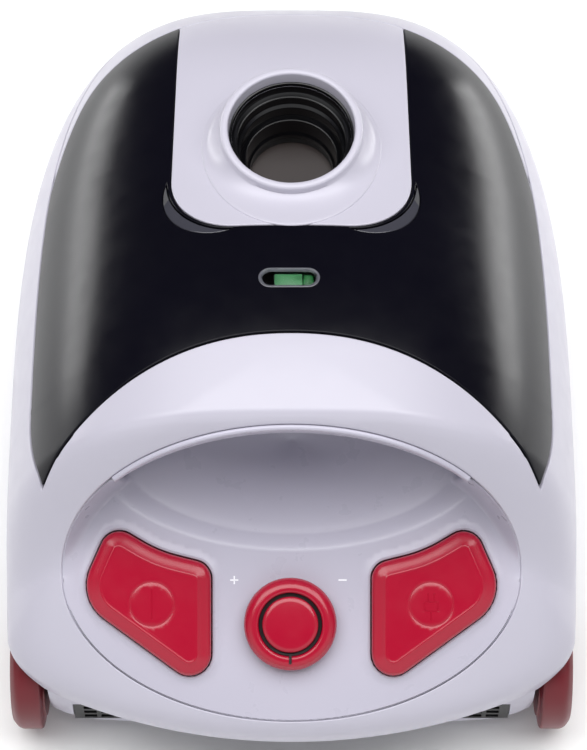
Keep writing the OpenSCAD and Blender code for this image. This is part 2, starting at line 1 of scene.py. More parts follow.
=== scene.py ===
"""Looks of a compact bagged canister vacuum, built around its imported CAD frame.

Shapes are worked out in millimetres, in the frame's own axes, and written in metres.
"""

import math

import bmesh
import bpy
import numpy as np
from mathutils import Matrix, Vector
from mathutils.bvhtree import BVHTree
from mathutils.geometry import delaunay_2d_cdt
from mathutils.kdtree import KDTree


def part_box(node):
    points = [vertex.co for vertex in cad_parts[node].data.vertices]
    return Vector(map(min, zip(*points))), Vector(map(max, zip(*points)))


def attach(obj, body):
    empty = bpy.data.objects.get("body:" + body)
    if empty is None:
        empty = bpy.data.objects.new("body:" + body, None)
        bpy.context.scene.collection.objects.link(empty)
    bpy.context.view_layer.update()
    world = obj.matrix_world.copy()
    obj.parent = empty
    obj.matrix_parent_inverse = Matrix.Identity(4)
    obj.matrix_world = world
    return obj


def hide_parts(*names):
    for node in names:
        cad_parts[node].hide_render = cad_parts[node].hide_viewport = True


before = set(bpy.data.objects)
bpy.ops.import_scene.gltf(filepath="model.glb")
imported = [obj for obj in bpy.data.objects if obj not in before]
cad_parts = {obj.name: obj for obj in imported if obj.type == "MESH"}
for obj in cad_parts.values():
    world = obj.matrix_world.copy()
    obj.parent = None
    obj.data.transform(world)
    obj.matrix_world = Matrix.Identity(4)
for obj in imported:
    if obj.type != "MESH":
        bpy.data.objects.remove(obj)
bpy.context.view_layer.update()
CAD_SLOT = {n: o.data.materials[0].name.split(".")[0] for n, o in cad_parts.items()}
MM = 0.001


def cad_box(node):
    """Lowest and highest corner of a CAD node, in millimetres."""
    low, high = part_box(node)
    return np.array(low) / MM, np.array(high) / MM


# ---------- the body's surface, as the CAD housing has it ----------
HOUSING_LOW, HOUSING_HIGH = cad_box("upper_housing")
BELT_HALF_W = HOUSING_HIGH[0]
BELT_FRONT_Y = HOUSING_HIGH[1]
BELT_REAR_Y = HOUSING_LOW[1]
BELT_Z = 62.0
SEAM_Z = 56.0
FRONT_CROWN_Z = 182.0
ARCH_CROWN_Z = 205.0
PLAN_POWER = 3.35
SHOULDER_POWER = 2.6
WAIST_Y = -60.0
SPINE_FRONT_Y = 55.0
SPINE_REAR_Y = -56.0
CORNER_Y = -140.0
CORNER_HALF_W = 133.6
REAR_ARC_R = 270.0
REAR_ARC_HALF_W = 106.0
WALL = 2.6
WALL_TAPER = 0.03
COVER_RHO = 0.885
ARCH_ARC_R = 163.0
ARCH_ARC_Y = -51.0
HORN_CENTRE = (20.0, -60.0)
HORN_R = COVER_RHO * BELT_HALF_W - HORN_CENTRE[0]


def smooth(t):
    t = np.clip(t, 0.0, 1.0)
    return t * t * (3.0 - 2.0 * t)


def ridge_z(y):
    """Height of the body along its middle line."""
    crown = FRONT_CROWN_Z + (ARCH_CROWN_Z - FRONT_CROWN_Z) * smooth((100.0 - y) / 160.0)
    tail = 98.0 + 28.0 * smooth((y + 178.0) / 60.0)
    return tail + (crown - tail) * smooth((y + 125.0) / 37.0)


def rear_arc_y(x):
    return BELT_REAR_Y + REAR_ARC_R - np.sqrt(REAR_ARC_R**2 - x * x)


def belt_half(steps=700):
    """The belt's right half in plan, from the front to the rear."""
    a = np.linspace(math.pi / 2, 0.0, steps)
    power = 2.0 / PLAN_POWER
    front_x = BELT_HALF_W * np.cos(a).clip(0) ** power
    front_y = WAIST_Y + (BELT_FRONT_Y - WAIST_Y) * np.sin(a) ** power
    t = np.linspace(0.0, 1.0, steps // 2)[1:]
    side_x = BELT_HALF_W - (BELT_HALF_W - CORNER_HALF_W) * t * t
    side_y = WAIST_Y + (CORNER_Y - WAIST_Y) * t
    start = np.array([CORNER_HALF_W, CORNER_Y])
    end = np.array([REAR_ARC_HALF_W, rear_arc_y(REAR_ARC_HALF_W)])
    tip_x = CORNER_HALF_W - 1.0
    tip = np.array([tip_x, end[1] + (tip_x - REAR_ARC_HALF_W) * 0.427])
    t = t[:, None]
    corner = (1 - t) ** 2 * start + 2 * t * (1 - t) * tip + t * t * end
    rear_x = np.linspace(REAR_ARC_HALF_W, 0.0, steps // 2)[1:]
    x = np.concatenate([front_x, side_x, corner[:, 0], rear_x])
    y = np.concatenate([front_y, side_y, corner[:, 1], rear_arc_y(rear_x)])
    return np.stack([x, y], axis=1)


BELT = belt_half()
FRONT_FAN = BELT[BELT[:, 1] > SPINE_FRONT_Y - 1.0] - (0.0, SPINE_FRONT_Y)
REAR_FAN = BELT[BELT[:, 1] < SPINE_REAR_Y + 1.0] - (0.0, SPINE_REAR_Y)
PHI = np.linspace(math.pi / 2, 0.0, 600)
RHO = np.cos(PHI).clip(0) ** (2.0 / SHOULDER_POWER)
ARC = np.concatenate([[0.0], np.cumsum(np.hypot(np.diff(RHO), 0.95 * np.diff(np.sin(PHI))))])
ARC_END = ARC[-1]


def spine_y(y):
    return np.clip(y, SPINE_REAR_Y, SPINE_FRONT_Y)


def reach(p):
    """Distance from the spine to the belt in the direction of each plan point."""
    x = np.abs(p[:, 0]) + 1e-9
    y = p[:, 1]
    front = np.arctan2(FRONT_FAN[::-1, 1], FRONT_FAN[::-1, 0])
    rear = np.arctan2(-REAR_FAN[:, 1], REAR_FAN[:, 0])
    by_side = np.interp(y, BELT[::-1, 1], BELT[::-1, 0])
    by_front = np.interp(np.arctan2(y - SPINE_FRONT_Y, x), front, np.hypot(*FRONT_FAN[::-1].T))
    by_rear = np.interp(np.arctan2(SPINE_REAR_Y - y, x), rear, np.hypot(*REAR_FAN.T))
    return np.where(y > SPINE_FRONT_Y, by_front, np.where(y < SPINE_REAR_Y, by_rear, by_side))


def from_spine(p):
    """Spine point, direction and distance of each plan point."""
    spine = np.stack([np.zeros(len(p)), spine_y(p[:, 1])], axis=1)
    offset = p - spine
    distance = np.maximum(np.hypot(offset[:, 0], offset[:, 1]), 1e-6)
    return spine, offset / distance[:, None], distance


def from_spine_by(p, distance):
    """Points in the direction of each plan point, at the given distance from the spine."""
    spine, direction, _ = from_spine(p)
    return spine + direction * distance[:, None]


def unroll(plan):
    """Plan points of the body's top to the flat domain, where distances are about true."""
    r = reach(plan)
    phi = np.arccos(np.clip(from_spine(plan)[2] / r, 0.0, 1.0) ** (SHOULDER_POWER / 2.0))
    return from_spine_by(plan, np.interp(-phi, -PHI, ARC) * r)


def dome(q):
    """Points of the flat domain to the body's surface. Past the belt it runs down the wall."""
    r = reach(q)
    share = from_spine(q)[2] / r
    over = np.maximum(share - ARC_END, 0.0) * r
    phi = np.interp(share, ARC, PHI)
    rho = np.cos(phi).clip(0) ** (2.0 / SHOULDER_POWER)
    plan = from_spine_by(q, rho * r - WALL_TAPER * over)
    z = BELT_Z + (ridge_z(plan[:, 1]) - BELT_Z) * np.sin(phi) - over
    return np.column_stack([plan, z])


def top_z(plan):
    """Height of the body's surface over plan points."""
    return dome(unroll(plan))[:, 2]


# ---------- the control panel's tilted frame ----------
TILT = math.radians(27.5)
PANEL_Y = -120.6
PANEL_Z = 105.0
PANEL_A = 106.2
PANEL_B = 69.1
PANEL_MID_V = -3.0


def tilted(u, v, w):
    """Points of the panel's frame, w along its normal, in the body's frame."""
    u, v, w = np.broadcast_arrays(u, v, w)
    y = PANEL_Y + v * math.cos(TILT) - w * math.sin(TILT)
    z = PANEL_Z + v * math.sin(TILT) + w * math.cos(TILT)
    return np.stack([u, y, z], axis=-1).astype(float)


def untilted(p):
    """The reverse of tilted, as columns u, v, w."""
    y = p[:, 1] - PANEL_Y
    z = p[:, 2] - PANEL_Z
    v = y * math.cos(TILT) + z * math.sin(TILT)
    return np.column_stack([p[:, 0], v, z * math.cos(TILT) - y * math.sin(TILT)])


def ellipse(angles, grow=0.0):
    """Points of the panel's opening in its own plane."""
    u = (PANEL_A + grow) * np.cos(angles)
    v = PANEL_MID_V + (PANEL_B + grow) * np.sin(angles)
    return np.column_stack([u, v])


def rim_height(uv):
    """Height above the panel's plane at which the body's surface lies over each point."""
    low = np.full(len(uv), -12.0)
    high = np.full(len(uv), 160.0)
    grid = np.linspace(160.0, -12.0, 240)
    found = np.zeros(len(uv), bool)

    def within(w):
        p = tilted(uv[:, 0], uv[:, 1], w)
        plan = p[:, :2]
        return (reach(plan) > from_spine(plan)[2]) & (p[:, 2] < top_z(plan))

    for above, below in zip(grid[:-1], grid[1:]):
        hit = ~found & within(np.full(len(uv), below))
        low[hit] = below
        high[hit] = above
        found |= hit
    for _ in range(24):
        mid = (low + high) / 2
        hit = within(mid)
        low = np.where(hit, mid, low)
        high = np.where(hit, high, mid)
    return (low + high) / 2


RIM_ANGLES = np.linspace(-math.pi, math.pi, 481)
RIM_W = rim_height(ellipse(RIM_ANGLES))


def rim_w(angle):
    """Height of the opening's edge above the panel's plane, by angle round the opening."""
    return np.interp((angle + math.pi) % (2 * math.pi) - math.pi, RIM_ANGLES, RIM_W)


# ---------- outlines ----------
def arc(centre, radius, start, end, steps):
    """Points of an arc in degrees."""
    a = np.radians(np.linspace(start, end, steps))
    return np.column_stack([centre[0] + radius * np.cos(a), centre[1] + radius * np.sin(a)])


def circles_meet(c0, r0, c1, r1, lower=False):
    """One of the two points where two circles cross."""
    c0, c1 = np.array(c0), np.array(c1)
    gap = np.linalg.norm(c1 - c0)
    along = (r0 * r0 - r1 * r1 + gap * gap) / (2 * gap)
    across = math.sqrt(r0 * r0 - along * along)
    unit = (c1 - c0) / gap
    side = np.array([-unit[1], unit[0]]) * (across if lower else -across)
    return c0 + unit * along + side


def mirror_x(points):
    return points[::-1] * (-1.0, 1.0)


def closed(points):
    return np.vstack([points, points[:1]])


def cover_outline(grow):
    """Edge of the bag cover in plan, drawn out by grow, as a closed line."""
    front = BELT[BELT[:, 1] >= WAIST_Y][::8]
    front = from_spine_by(front, from_spine(front)[2] * COVER_RHO + grow)
    arch_centre = (0.0, ARCH_ARC_Y - ARCH_ARC_R)
    tips = [circles_meet(HORN_CENTRE, HORN_R + grow, arch_centre, ARCH_ARC_R - grow, k) for k in (0, 1)]
    tip = max(tips, key=lambda p: p[0])
    horn_end = math.degrees(math.atan2(tip[1] - HORN_CENTRE[1], tip[0] - HORN_CENTRE[0]))
    horn = arc(HORN_CENTRE, HORN_R + grow, 0.0, horn_end, 40)[1:]
    tip_angle = math.degrees(math.atan2(tip[1] - arch_centre[1], tip[0]))
    arch = arc(arch_centre, ARCH_ARC_R - grow, tip_angle, 90.0, 70)[1:]
    half = np.vstack([front, horn, arch])
    return closed(np.vstack([half, mirror_x(half)[1:-1]]))


def in_cover(plan, grow):
    """Which plan points lie inside the cover's edge."""
    hit = from_spine(plan)[2] < reach(plan) * COVER_RHO + grow
    hit &= np.hypot(plan[:, 0], plan[:, 1] - ARCH_ARC_Y + ARCH_ARC_R) > ARCH_ARC_R - grow
    x = np.abs(plan[:, 0])
    horn = np.hypot(x - HORN_CENTRE[0], plan[:, 1] - HORN_CENTRE[1]) < HORN_R + grow
    return hit & (horn | (plan[:, 1] > WAIST_Y) | (x < 60.0)) & (plan[:, 1] > -130.0)


def corner_rays(points, i):
    """Directions from a corner to its neighbours and between them, and half their angle."""
    a = points[i - 1] - points[i]
    b = points[(i + 1) % len(points)] - points[i]
    a = a / np.linalg.norm(a)
    b = b / np.linalg.norm(b)
    return a, b, (a + b) / np.linalg.norm(a + b), math.acos(np.clip(a @ b, -1.0, 1.0)) / 2


def rounded(corners, inset=0.0, steps=8):
    """Outline from corners (x, y, radius), counter-clockwise, drawn in by inset."""
    c = np.array(corners, float)
    v = c[:, :2]
    moved = []
    signs = []
    for i in range(len(v)):
        a, b, middle, half = corner_rays(v, i)
        signs.append(1.0 if a[1] * b[0] - a[0] * b[1] > 0 else -1.0)
        moved.append(v[i] + signs[i] * middle * inset / math.sin(half))
    out = []
    for i in range(len(v)):
        a, b, middle, half = corner_rays(moved, i)
        radius = max(c[i, 2] - signs[i] * inset, 0.5)
        centre = moved[i] + middle * radius / math.sin(half)
        start = moved[i] + a * radius / math.tan(half) - centre
        end = moved[i] + b * radius / math.tan(half) - centre
        a0 = math.atan2(start[1], start[0])
        sweep = (math.atan2(end[1], end[0]) - a0 + 3 * math.pi) % (2 * math.pi) - math.pi
        for k in range(steps + 1):
            t = a0 + sweep * k / steps
            out.append(centre + radius * np.array([math.cos(t), math.sin(t)]))
    return np.array(out)


def dense(line, step=2.0):
    """The same line with points at most step apart."""
    out = [line[:1]]
    for a, b in zip(line[:-1], line[1:]):
        count = max(1, int(math.ceil(np.linalg.norm(b - a) / step)))
        out.append(a + (b - a) * (np.arange(1, count + 1) / count)[:, None])
    return np.vstack(out)


def inside(outline, points):
    """Which points lie inside a closed outline."""
    hit = np.zeros(len(points), bool)
    x, y = points[:, 0], points[:, 1]
    for a, b in zip(outline, np.roll(outline, -1, axis=0)):
        if a[1] == b[1]:
            continue
        crosses = (a[1] > y) != (b[1] > y)
        hit ^= crosses & (x < (b[0] - a[0]) * (y - a[1]) / (b[1] - a[1]) + a[0])
    return hit


INLET_Y = 59.0
INLET_CORNERS = [(-56.2, 9.0, 30.0), (56.2, 9.0, 30.0), (54.0, 182.0, 5.0), (-54.0, 182.0, 5.0)]
CRESCENT_HUB = (26.2, 39.0)
CRESCENT_CENTRE = (35.9, 29.3)
CRESCENT_R = 23.8
CRESCENT_INNER_R = 31.5
WINDOW_AT = (-1.0, -22.0)
WINDOW_REACH = 8.4
WINDOW_R = 5.0


def inlet_outline(grow):
    return rounded(INLET_CORNERS, -grow, 14)


def crescent_outline(grow):
    """Right finger crescent at the inlet panel's corner, as a closed line."""
    r0, r1 = CRESCENT_R + grow, CRESCENT_INNER_R - grow
    ends = [circles_meet(CRESCENT_CENTRE, r0, CRESCENT_HUB, r1, k) for k in (0, 1)]

    def sweep(centre, a, b, radius, steps):
        a0 = math.degrees(math.atan2(a[1] - centre[1], a[0] - centre[0]))
        a1 = math.degrees(math.atan2(b[1] - centre[1], b[0] - centre[0]))
        a1 = a0 + (a1 - a0 + 540.0) % 360.0 - 180.0
        return arc(centre, radius, a0, a1, steps)

    outer = sweep(CRESCENT_CENTRE, ends[0], ends[1], r0, 30)
    inner = sweep(CRESCENT_HUB, ends[1], ends[0], r1, 30)
    return closed(np.vstack([outer[:-1], inner[:-1]]))


def window_outline(grow):
    x, y = WINDOW_AT
    right = arc((x + WINDOW_REACH, y), WINDOW_R + grow, -90, 90, 16)
    left = arc((x - WINDOW_REACH, y), WINDOW_R + grow, 90, 270, 16)
    return closed(np.vstack([right, left]))


# ---------- mesh building ----------
def unit_rows(v):
    return v / np.maximum(np.linalg.norm(v, axis=1, keepdims=True), 1e-9)


def normals_of(lift, q, step=0.25):
    du = lift(q + (step, 0.0)) - lift(q - (step, 0.0))
    dv = lift(q + (0.0, step)) - lift(q - (0.0, step))
    return unit_rows(np.cross(du, dv))


def add_object(name, data):
    made = bpy.data.objects.new(name, data)
    bpy.context.scene.collection.objects.link(made)
    return made


def new_piece(name, points, faces, material, body, slot, normals=None):
    """A mesh object from points in millimetres."""
    mesh = bpy.data.meshes.new(name)
    mesh.from_pydata((np.asarray(points) * MM).tolist(), [], [tuple(map(int, f)) for f in faces])
    mesh.validate()
    mesh.polygons.foreach_set("use_smooth", [True] * len(mesh.polygons))
    if normals is not None:
        mesh.normals_split_custom_set_from_vertices(np.asarray(normals).tolist())
    mesh.materials.append(material)
    piece = add_object(name, mesh)
    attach(piece, body)
    return piece


def boundary_loops(faces):
    """Closed loops of vertex numbers along the open edges, with the faces on their left."""
    edges = set()
    for f in faces:
        for a, b in zip(f, np.roll(f, -1)):
            edges.add((int(a), int(b)))
    follow = {a: b for a, b in edges if (b, a) not in edges}
    loops = []
    while follow:
        start = next(iter(follow))
        loop = [start]
        while True:
            onward = follow.pop(loop[-1])
            if onward == start or onward not in follow:
                break
            loop.append(onward)
        if len(loop) > 2:
            loops.append(loop)
    return loops


def triangulate(lines, keep, spacing, low, high):
    """Triangles over the flat domain that follow the given lines, where keep says so."""
    line_points = np.vstack(lines)
    tree = KDTree(len(line_points))
    for i, p in enumerate(line_points):
        tree.insert((p[0], p[1], 0.0), i)
    tree.balance()
    row = spacing * math.sqrt(3) / 2
    grid = []
    for j, y in enumerate(np.arange(low[1], high[1], row)):
        for x in np.arange(low[0] + (j % 2) * spacing / 2, high[0], spacing):
            if tree.find((x, y, 0.0))[2] > 0.62 * spacing:
                grid.append((x, y))
    grid = np.array(grid)
    grid = grid[keep(grid)]
    points = list(grid)
    edges = []
    for line in lines:
        start = len(points)
        points += list(line)
        edges += [(start + i, start + i + 1) for i in range(len(line) - 1)]
    verts, _, faces, _, _, _ = delaunay_2d_cdt([Vector(p) for p in points], edges, [], 0, 1e-5)
    q = np.array([tuple(v) for v in verts])
    faces = np.array(faces)
    faces = faces[keep(q[faces].mean(axis=1))]
    used = np.unique(faces)
    number = np.full(len(q), -1)
    number[used] = np.arange(len(used))
    return q[used], number[faces]


def shell(name, lift, lines, keep, spacing, box, rim, depth, material, body, slot):
    """A moulded shell over the kept domain: rounded edges, side walls and an inner face."""
    q, faces = triangulate(lines, keep, spacing, *box)
    points = lift(q)
    normals = normals_of(lift, q)
    count = len(points)
    parts = [points.copy(), points - normals * depth]
    part_normals = [normals, -normals]
    all_faces = [tuple(f) for f in faces] + [tuple(count + f[::-1]) for f in faces]
    total = 2 * count
    for loop in boundary_loops(faces):
        ring = np.array(loop)
        at = points[ring]
        n = normals[ring]
        ahead = unit_rows(np.roll(at, -1, axis=0) - at)
        behind = unit_rows(at - np.roll(at, 1, axis=0))
        inward = unit_rows(np.cross(n, ahead + behind))
        bend = np.sqrt(np.clip((1.0 + np.sum(ahead * behind, axis=1)) / 2, 0.2, 1.0))
        radius = (rim(at) if callable(rim) else np.full(len(ring), rim))[:, None]
        step_in = inward / bend[:, None]
        parts[0][ring] = at + step_in * radius
        parts[1][ring] = at + step_in * radius - n * depth
        levels = []
        for theta in np.radians([22.5, 45.0, 67.5, 90.0]):
            sink = radius * (1.0 - math.cos(theta))
            level = at + step_in * radius * (1.0 - math.sin(theta)) - n * sink
            levels.append((level, n * math.cos(theta) - inward * math.sin(theta)))
        for drop in (0.6, 1.0):
            levels.append((at - n * (radius + (depth - radius) * drop), -inward))
        rows = [ring]
        for level, level_normals in levels:
            parts.append(level)
            part_normals.append(level_normals)
            rows.append(np.arange(total, total + len(ring)))
            total += len(ring)
        rows.append(count + ring)
        for upper, lower in zip(rows[:-1], rows[1:]):
            for k in range(len(ring)):
                m = (k + 1) % len(ring)
                all_faces.append((upper[k], lower[k], lower[m], upper[m]))
    return new_piece(name, np.vstack(parts), all_faces, material, body, slot, np.vstack(part_normals))


def loft_faces(rows, around, wrap=True):
    """Quads between rows of points, each row around points long."""
    faces = []
    for r in range(rows - 1):
        for k in range(around if wrap else around - 1):
            a = r * around + k
            b = r * around + (k + 1) % around
            faces.append((a, b, b + around, a + around))
    return faces


def ring_faces(rows, around):
    """The same, with the last row joined to the first."""
    last = (rows - 1) * around
    bridge = [(last + k, last + (k + 1) % around, (k + 1) % around, k) for k in range(around)]
    return loft_faces(rows, around) + bridge


def lathe(name, profile, place, material, body, slot, around):
    """A turned piece. place takes radius, angle and height arrays and gives points."""
    angles = np.linspace(0, 2 * math.pi, around, endpoint=False)
    points = [place(np.full(around, r), angles, np.full(around, h)) for r, h in profile]
    faces = ring_faces(len(profile), around)
    piece = new_piece(name, np.vstack(points), faces, material, body, slot)
    recalc(piece)
    smooth_by_angle(piece, 50)
    return piece


def recalc(piece, merge=1e-7):
    """Joins points that coincide and turns the faces outward."""
    bm = bmesh.new()
    bm.from_mesh(piece.data)
    bmesh.ops.remove_doubles(bm, verts=bm.verts, dist=merge)
    bmesh.ops.recalc_face_normals(bm, faces=bm.faces)
    bm.to_mesh(piece.data)
    bm.free()


def smooth_by_angle(piece, degrees):
    piece.data.set_sharp_from_angle(angle=math.radians(degrees))


def thicken(piece, thickness, offset):
    wall = piece.modifiers.new("wall", "SOLIDIFY")
    wall.thickness = thickness * MM
    wall.offset = offset


def round_profile(corners, steps=5):
    """A profile from corners (r, z, radius), with its corners rounded, open at both ends."""
    c = np.array(corners, float)
    out = [c[0, :2]]
    for i in range(1, len(c) - 1):
        p, v, n = c[i - 1, :2], c[i, :2], c[i + 1, :2]
        a = (p - v) / np.linalg.norm(p - v)
        b = (n - v) / np.linalg.norm(n - v)
        size = c[i, 2]
        if size <= 0:
            out.append(v)
            continue
        for k in range(steps + 1):
            t = k / steps
            out.append((1 - t) ** 2 * (v + a * size) + 2 * t * (1 - t) * v + t * t * (v + b * size))
    out.append(c[-1, :2])
    return np.array(out)


# ---------- materials ----------
def node_of(tree, kind, **inputs):
    node = tree.nodes.new(kind)
    for key, value in inputs.items():
        node.inputs[key.replace("_", " ")].default_value = value
    return node


def start_material(name):
    material = bpy.data.materials.new(name)
    material.use_nodes = True
    tree = material.node_tree
    shader = tree.nodes["Principled BSDF"]
    place = tree.nodes.new("ShaderNodeTexCoord").outputs["Object"]
    return material, tree, shader, place


def noise(tree, place, scale, detail=3.0, rough=0.5):
    node = node_of(tree, "ShaderNodeTexNoise", Scale=scale, Detail=detail, Roughness=rough)
    tree.links.new(place, node.inputs["Vector"])
    return node.outputs["Fac"]


def spread(tree, value, low, high, start=0.25, end=0.75, curve="LINEAR"):
    """Maps value from start..end to low..high."""
    node = node_of(tree, "ShaderNodeMapRange", From_Min=start, From_Max=end, To_Min=low, To_Max=high)
    node.interpolation_type = curve
    tree.links.new(value, node.inputs["Value"])
    return node.outputs["Result"]


def two_tone(tree, shader, value, first, second):
    mix = tree.nodes.new("ShaderNodeMix")
    mix.data_type = "RGBA"
    mix.inputs[6].default_value = (*first, 1.0)
    mix.inputs[7].default_value = (*second, 1.0)
    tree.links.new(spread(tree, value, 0.0, 1.0), mix.inputs[0])
    tree.links.new(mix.outputs[2], shader.inputs["Base Color"])


def bump(tree, shader, value, depth):
    node = node_of(tree, "ShaderNodeBump", Strength=1.0, Distance=depth)
    tree.links.new(value, node.inputs["Height"])
    tree.links.new(node.outputs["Normal"], shader.inputs["Normal"])


def plastic(name, colour, rough, grain=900.0, depth=4e-6, tint=0.03, coat=0.0, ior=1.5):
    """Moulded plastic: slightly uneven gloss, faint tint and a fine moulded grain."""
    material, tree, shader, place = start_material(name)
    shade = [c * (1.0 - tint) for c in colour]
    two_tone(tree, shader, noise(tree, place, 14.0, 4.0), shade, colour)
    uneven = noise(tree, place, 90.0, 5.0)
    tree.links.new(spread(tree, uneven, rough * 0.85, rough * 1.15), shader.inputs["Roughness"])
    bump(tree, shader, noise(tree, place, grain, 2.0), depth)
    shader.inputs["IOR"].default_value = ior
    shader.inputs["Coat Weight"].default_value = coat
    shader.inputs["Coat Roughness"].default_value = 0.04
    return material


def metal(name, colour, rough, stretch=(1.0, 1.0, 1.0)):
    """Bare metal with fine drawing lines and stained patches."""
    material, tree, shader, place = start_material(name)
    mapping = tree.nodes.new("ShaderNodeMapping")
    mapping.inputs["Scale"].default_value = stretch
    tree.links.new(place, mapping.inputs["Vector"])
    lines = noise(tree, mapping.outputs["Vector"], 700.0, 6.0)
    two_tone(tree, shader, noise(tree, place, 60.0), [c * 0.82 for c in colour], colour)
    tree.links.new(spread(tree, lines, rough * 0.7, rough * 1.3), shader.inputs["Roughness"])
    bump(tree, shader, lines, 6e-6)
    shader.inputs["Metallic"].default_value = 1.0
    return material


def rubber(name, colour=(0.018, 0.018, 0.019)):
    material, tree, shader, place = start_material(name)
    two_tone(tree, shader, noise(tree, place, 120.0, 6.0), colour, [c * 1.7 for c in colour])
    tree.links.new(spread(tree, noise(tree, place, 300.0), 0.55, 0.75), shader.inputs["Roughness"])
    bump(tree, shader, noise(tree, place, 1500.0, 3.0), 2e-5)
    return material


def foam(name, colour):
    """Open-cell foam: deep round pores, each coloured darker towards its centre as painted shade."""
    material, tree, shader, place = start_material(name)
    cells = node_of(tree, "ShaderNodeTexVoronoi", Scale=900.0)
    tree.links.new(place, cells.inputs["Vector"])
    # Painted shade: the colour darkens where the pores sink, as if shadowed.
    two_tone(tree, shader, cells.outputs["Distance"], [c * 0.35 for c in colour], colour)
    shader.inputs["Roughness"].default_value = 0.95
    bump(tree, shader, cells.outputs["Distance"], 4e-4)
    return material


def fleece(name, colour, scale=1400.0):
    """Non-woven fibre sheet: felted strands, slight blotches and a soft sheen."""
    material, tree, shader, place = start_material(name)
    fibres = node_of(tree, "ShaderNodeTexWave", Scale=scale * 0.4, Distortion=22.0, Detail=4.0)
    tree.links.new(place, fibres.inputs["Vector"])
    two_tone(tree, shader, noise(tree, place, scale, 8.0, 0.7), [c * 0.8 for c in colour], colour)
    shader.inputs["Roughness"].default_value = 0.9
    shader.inputs["Sheen Weight"].default_value = 0.25
    bump(tree, shader, fibres.outputs["Fac"], 6e-5)
    return material


def clear_plastic(name):
    material, tree, shader, place = start_material(name)
    two_tone(tree, shader, noise(tree, place, 80.0), (0.86, 0.93, 0.89), (0.93, 0.97, 0.95))
    shader.inputs["Transmission Weight"].default_value = 1.0
    shader.inputs["IOR"].default_value = 1.2
    tree.links.new(spread(tree, noise(tree, place, 200.0), 0.02, 0.06), shader.inputs["Roughness"])
    return material


def windings(name):
    """Enamelled copper wire, wound round the motor's axis, with painted shade darkening the grooves between
    turns.
    """
    material, tree, shader, place = start_material(name)
    wire = node_of(tree, "ShaderNodeTexWave", Scale=330.0, Distortion=0.6)
    tree.links.new(place, wire.inputs["Vector"])
    # Painted shade: the copper darkens where the wave sinks between turns.
    two_tone(tree, shader, wire.outputs["Fac"], (0.13, 0.04, 0.015), (0.62, 0.27, 0.11))
    shader.inputs["Metallic"].default_value = 0.8
    shader.inputs["Roughness"].default_value = 0.3
    bump(tree, shader, wire.outputs["Fac"], 2e-4)
    return material


SHELL = plastic("shell_grey", (0.465, 0.45, 0.525), 0.33, tint=0.015, ior=1.46)
PANEL = plastic("panel_grey", (0.445, 0.43, 0.51), 0.30, tint=0.015, ior=1.46)
HOOD = plastic("hood_black", (0.0032, 0.0030, 0.0062), 0.23, tint=0.2, ior=1.28)
RED = plastic("control_red", (0.36, 0.004, 0.024), 0.24, tint=0.05, coat=0.1)
WHEEL_RED = plastic("wheel_red", (0.13, 0.005, 0.011), 0.38, tint=0.08, depth=1.2e-5)
DARK = plastic("inner_dark", (0.035, 0.035, 0.040), 0.45, depth=1.6e-5, tint=0.15)
MID = plastic("inner_grey", (0.20, 0.20, 0.22), 0.5, depth=1.6e-5, tint=0.1)
GRILLE = plastic("grille_black", (0.010, 0.010, 0.011), 0.42, depth=1.6e-5, tint=0.2)
SOCKET = plastic("socket_black", (0.004, 0.004, 0.005), 0.16, tint=0.2)
CARD = plastic("bag_card", (0.030, 0.021, 0.020), 0.42, grain=700.0, depth=2e-5, tint=0.25)
BLUE = plastic("holder_blue", (0.035, 0.10, 0.24), 0.45, depth=1.6e-5, tint=0.1)
GREEN = plastic("flag_green", (0.055, 0.20, 0.085), 0.35, tint=0.1)
DEEP_GREEN = plastic("flag_deep_green", (0.012, 0.12, 0.03), 0.35, tint=0.1)
MARK = plastic("panel_marks", (0.86, 0.86, 0.90), 0.45, tint=0.02)
MESH_BLACK = foam("mesh_black", (0.012, 0.012, 0.013))
PAD = plastic("latch_pad", (0.045, 0.045, 0.058), 0.22, tint=0.1, coat=0.4)
FRAME_GREY = plastic("window_frame", (0.10, 0.10, 0.12), 0.16, tint=0.1, coat=0.6)
BOARD = plastic("board_green", (0.012, 0.11, 0.045), 0.35, grain=400.0, depth=3e-5, tint=0.3)
RUBBER = rubber("rubber")
STEEL = metal("steel", (0.62, 0.62, 0.64), 0.28, (1.0, 12.0, 1.0))
MOTOR_METAL = metal("motor_metal", (0.66, 0.66, 0.68), 0.34, (1.0, 1.0, 14.0))
COPPER = windings("copper")
FOAM = foam("foam", (0.07, 0.07, 0.075))
FILTER = fleece("filter_white", (0.78, 0.78, 0.74))
BAG = fleece("bag_paper", (0.66, 0.58, 0.44))
CLEAR = clear_plastic("window_clear")

# Each of these has the name of the CAD slot that it fills.
CAD_MATERIALS = (
    SHELL, HOOD, RED, WHEEL_RED, DARK, MID, GRILLE, RUBBER, STEEL, MOTOR_METAL, COPPER, FOAM, FILTER, BAG,
    CARD, BLUE, BOARD, CLEAR, GREEN,
)
SLOT_MATERIALS = {material.name.split(".")[0]: material for material in CAD_MATERIALS}


# ---------- bag cover and housing ----------
RIM_SPACING = 1.6
COVER_GAP = 0.8
DOME_DOMAIN = ((-225.0, -290.0), (225.0, 300.0))
ELLIPSE_STEPS = np.linspace(0, 2 * math.pi, 361)


def domain_line(plan):
    return unroll(dense(plan, RIM_SPACING))


def panel_edge_plan(grow=0.0):
    """Where the panel's opening meets the body's surface, in plan."""
    uv = ellipse(ELLIPSE_STEPS, grow)
    return tilted(uv[:, 0], uv[:, 1], rim_w(ELLIPSE_STEPS))[:, :2]


def in_panel_opening(points):
    uvw = untilted(points)
    e = (uvw[:, 0] / PANEL_A) ** 2 + ((uvw[:, 1] - PANEL_MID_V) / PANEL_B) ** 2
    return (e < 1.0) & (uvw[:, 2] > -10.0)


def belt_ring(drop):
    """Domain line that runs round the body, drop below the belt."""
    full = closed(np.vstack([BELT[::6], mirror_x(BELT[::6])[1:-1]]))
    return from_spine_by(full, from_spine(full)[2] * ARC_END + drop)


